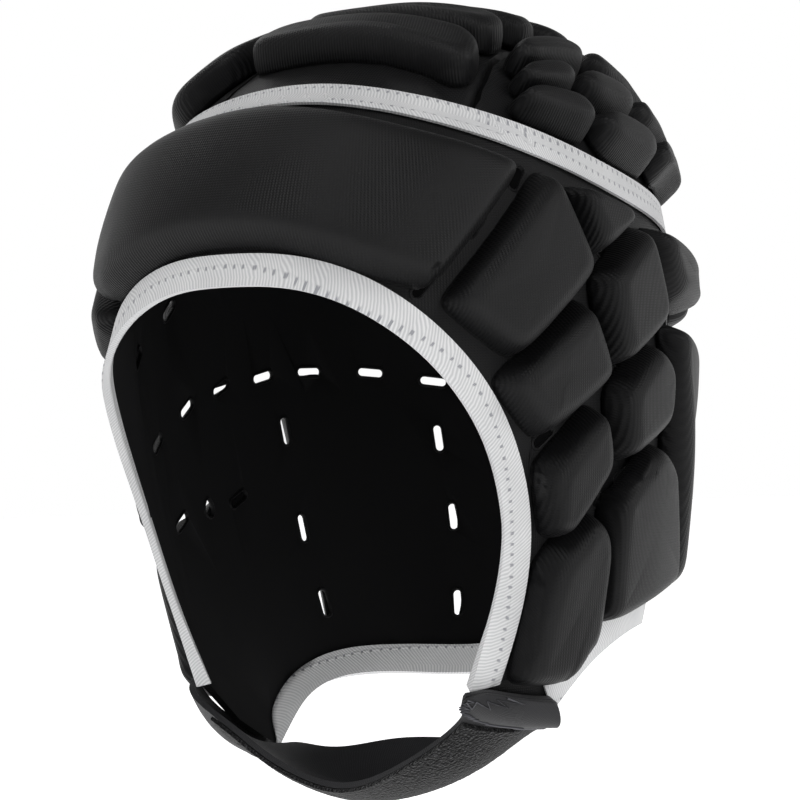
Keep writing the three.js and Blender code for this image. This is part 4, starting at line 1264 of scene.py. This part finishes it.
@dataclass
class Trims:
    """The white twill: the tape over the crown seam and the bindings of the face opening and the hem."""

    levels: int = 2
    tape_steps: int = 56
    tape_stitch: float = 3.7
    binding_stitch: float = 7.8
    tape_cut: tuple[float, float] = (0.01, 0.543)
    tape_area: float = 0.00489

    @property
    def binding_cuts(self) -> dict[str, tuple[float, float]]:
        """Each binding's flat width, folded open, and its length."""
        return {
            "face_binding": (0.0134, 0.453),
            "neck_binding_left": (0.0153, 0.235),
            "neck_binding_right": (0.0167, 0.139),
        }

    def tape(self) -> bpy.types.Object:
        """Makes the crown tape.

        Returns:
            The piece.
        """
        piece = cad_copy("crown_tape", "twill_crown_tape")
        points = places(piece.data)
        bearings = np.arctan2(points[:, 0], -points[:, 1])
        line = line_by_angle(points, bearings, lambda rows: rows.mean(axis=0), self.tape_steps)
        line = evened(np.vstack([line, line[:1]]), closed=True)
        softened(piece, self.levels)
        chart = Band(line).chart(places(piece.data), lambda offset: np.sign(offset[:, 2]))
        set_uv(piece.data, "band", chart)
        dress(piece, TwillTape(name="cotton_twill_crown_tape", stitch_line=self.tape_stitch).material())
        return piece

    def binding(self, node: str, rim: PinchedRim) -> bpy.types.Object:
        """Makes one folded binding.

        Args:
            node: The binding's CAD node.
            rim: How thin the rim is squeezed.

        Returns:
            The piece.
        """
        piece = cad_copy(node, "twill_" + node)
        rim.squeeze(piece)
        softened(piece, self.levels)
        set_uv(piece.data, "band", Band(evened(rim_lines()[node])).chart(places(piece.data), None))
        return piece

    def build(self) -> None:
        """Builds the tape and the bindings."""
        tape = self.tape()
        hand_over(tape, "trim_tape", "crown_tape")
        twill = TwillTape(stitch_line=self.binding_stitch).material()
        rim = PinchedRim()
        for node in ("face_binding", "neck_binding_left", "neck_binding_right"):
            piece = self.binding(node, rim)
            dress(piece, twill)
            hand_over(piece, "trim_tape", node)


@dataclass
class ChinStrap:
    """The cupped chin strap with its sewn tab and its patch of loop pile."""

    levels: int = 2
    pile_levels: int = 4
    pile_depth: float = 0.35 * MM
    pile_grain: float = 0.9 * MM
    turn_height: float = 0.19
    line_steps: int = 24
    edge_window: float = 1.3
    inner_height: float = -0.15
    reach_out: float = 6 * MM
    thread_radius: float = 0.33 * MM
    zigzag_rows: tuple[float, float] = (0.9, 4.1)
    zigzag_pitch: float = 1.5 * MM
    overlock_length: float = 32.0
    overlock_pitch: float = 0.8
    overlock_width: float = 2.6 * MM

    @property
    def cuts(self) -> dict[str, tuple[tuple[float, float], float, str, str]]:
        """Each layer's flat width and length, its flat area, how it is held and what is under it."""
        return {
            "chin_strap": ((0.036, 0.19), 0.0065, "hung", "side_shell"),
            "strap_tab_left": ((0.03, 0.018), 0.0005, "laid", "chin_strap"),
            "fastening_patch": ((0.032, 0.168), 0.00525, "laid", "chin_strap"),
        }

    def line(self, points: np.ndarray) -> np.ndarray:
        """The strap's middle line from one cheek to the other.

        Args:
            points: The strap's points, close together.

        Returns:
            The line's points in order.
        """
        angles = np.arctan2(points[:, 0], -(points[:, 2] + self.turn_height))
        line = evened(line_by_angle(
            points, angles, lambda rows: (rows.min(axis=0) + rows.max(axis=0)) / 2, self.line_steps), times=3)
        return np.vstack([3 * line[:1] - 2 * line[1:2], line, 3 * line[-1:] - 2 * line[-2:-1]])

    def edge_pair(self, points: np.ndarray, chart: np.ndarray, along: float) -> tuple[Vector, Vector]:
        """Finds the front and back edge of a layer at a length along the strap.

        Args:
            points: The layer's points.
            chart: Their millimetres along and across.
            along: The length along, in millimetres.

        Returns:
            The two edge points.
        """
        gap = np.abs(chart[:, 0] - along)
        near = gap < max(self.edge_window, gap.min() + 0.3)
        rows, across = points[near], chart[near, 1]
        return Vector(rows[across.argmin()]), Vector(rows[across.argmax()])

    def thread(self, name: str, path: list[Vector], surface: BVHTree,
               material: bpy.types.Material) -> bpy.types.Object:
        """Lays a thread over a layer's outer face.

        Args:
            name: The thread's name.
            path: Its points, near the face.
            surface: The layer's surface.
            material: The thread's finish.

        Returns:
            The thread.
        """
        curve = bpy.data.curves.new(name, "CURVE")
        curve.dimensions = "3D"
        curve.bevel_depth = self.thread_radius
        curve.bevel_resolution = 1
        spline = curve.splines.new("POLY")
        spline.points.add(len(path) - 1)
        centre = Vector((0.0, 0.0, self.inner_height))
        for point, place in zip(spline.points, path):
            outward = (place - centre).normalized()
            spot, normal, _, _ = surface.ray_cast(place + outward * self.reach_out, -outward)
            if spot is None:
                spot, normal, _, _ = surface.find_nearest(place)
            point.co = (*(spot + normal * self.thread_radius * 0.6), 1.0)
        activate(placed(name, curve))
        bpy.ops.object.convert(target="MESH")
        piece = bpy.context.active_object
        bpy.ops.object.shade_smooth()
        dress(piece, material)
        hand_over(piece, "strap_fabric")
        return piece

    def stitches(self, layer: bpy.types.Object, chart: np.ndarray,
                 material: bpy.types.Material) -> list[bpy.types.Object]:
        """Sews the zigzag across the tab's end and the overlock down its front edge.

        Args:
            layer: The tab.
            chart: Its millimetres along and across.
            material: The thread's finish.

        Returns:
            The two threads.
        """
        points = places(layer.data)
        surface = BVHTree.FromPolygons([v.co.copy() for v in layer.data.vertices],
                                       [list(f.vertices) for f in layer.data.polygons])
        end = chart[:, 0].max()
        rows = [self.edge_pair(points, chart, end - a) for a in self.zigzag_rows]
        width = (rows[0][0] - rows[0][1]).length
        count = int(width / self.zigzag_pitch)
        path = [rows[k % 2][0].lerp(rows[k % 2][1], 0.03 + 0.94 * k / count) for k in range(count + 1)]
        zigzag = self.thread("zigzag_stitch", path, surface, material)
        path = []
        for k in range(int(self.overlock_length / self.overlock_pitch)):
            front, back = self.edge_pair(points, chart, end - k * self.overlock_pitch)
            inward = (back - front).normalized()
            path.append(front + inward * (self.overlock_width if k % 2 else 0.0))
        return [zigzag, self.thread("overlock_stitch", path, surface, material)]

    def build(self) -> None:
        """Builds the strap, its tab, its patch and their stitches."""
        band = None
        cloth = BrushedStrap().material()
        pile = LoopPile().material()
        thread = SewingThread().material()
        for node, name, slot in [("chin_strap", "strap_webbing", "strap_fabric"),
                                 ("strap_tab_left", "strap_sewn_tab", "strap_fabric"),
                                 ("fastening_patch", "strap_loop_patch", "loop_pile")]:
            piece = cad_copy(node, name)
            softened(piece, self.pile_levels if slot == "loop_pile" else self.levels)
            band = band or Band(self.line(places(piece.data)))
            if slot == "loop_pile":
                texture = bpy.data.textures.new("pile_fluff", "CLOUDS")
                texture.noise_scale = self.pile_grain
                apply_modifier(piece, "DISPLACE", texture=texture, strength=self.pile_depth,
                               texture_coords="LOCAL", mid_level=0.4)
            chart = band.chart(places(piece.data), lambda offset: np.sign(offset[:, 1]))
            set_uv(piece.data, "band", chart)
            dress(piece, pile if slot == "loop_pile" else cloth)
            hand_over(piece, slot, node)
            threads = self.stitches(piece, chart, thread) if node == "strap_tab_left" else []


def main() -> None:
    """Builds the cap piece by piece."""
    logging.basicConfig(level=logging.INFO, format="%(message)s")
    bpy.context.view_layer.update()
    Studio().build()
    shell = LaminateShell()
    surface = shell.surface()
    shell.build()
    FoamPads().build(surface)
    Trims().build()
    ChinStrap().build()


if __name__ == "__main__":
    main()
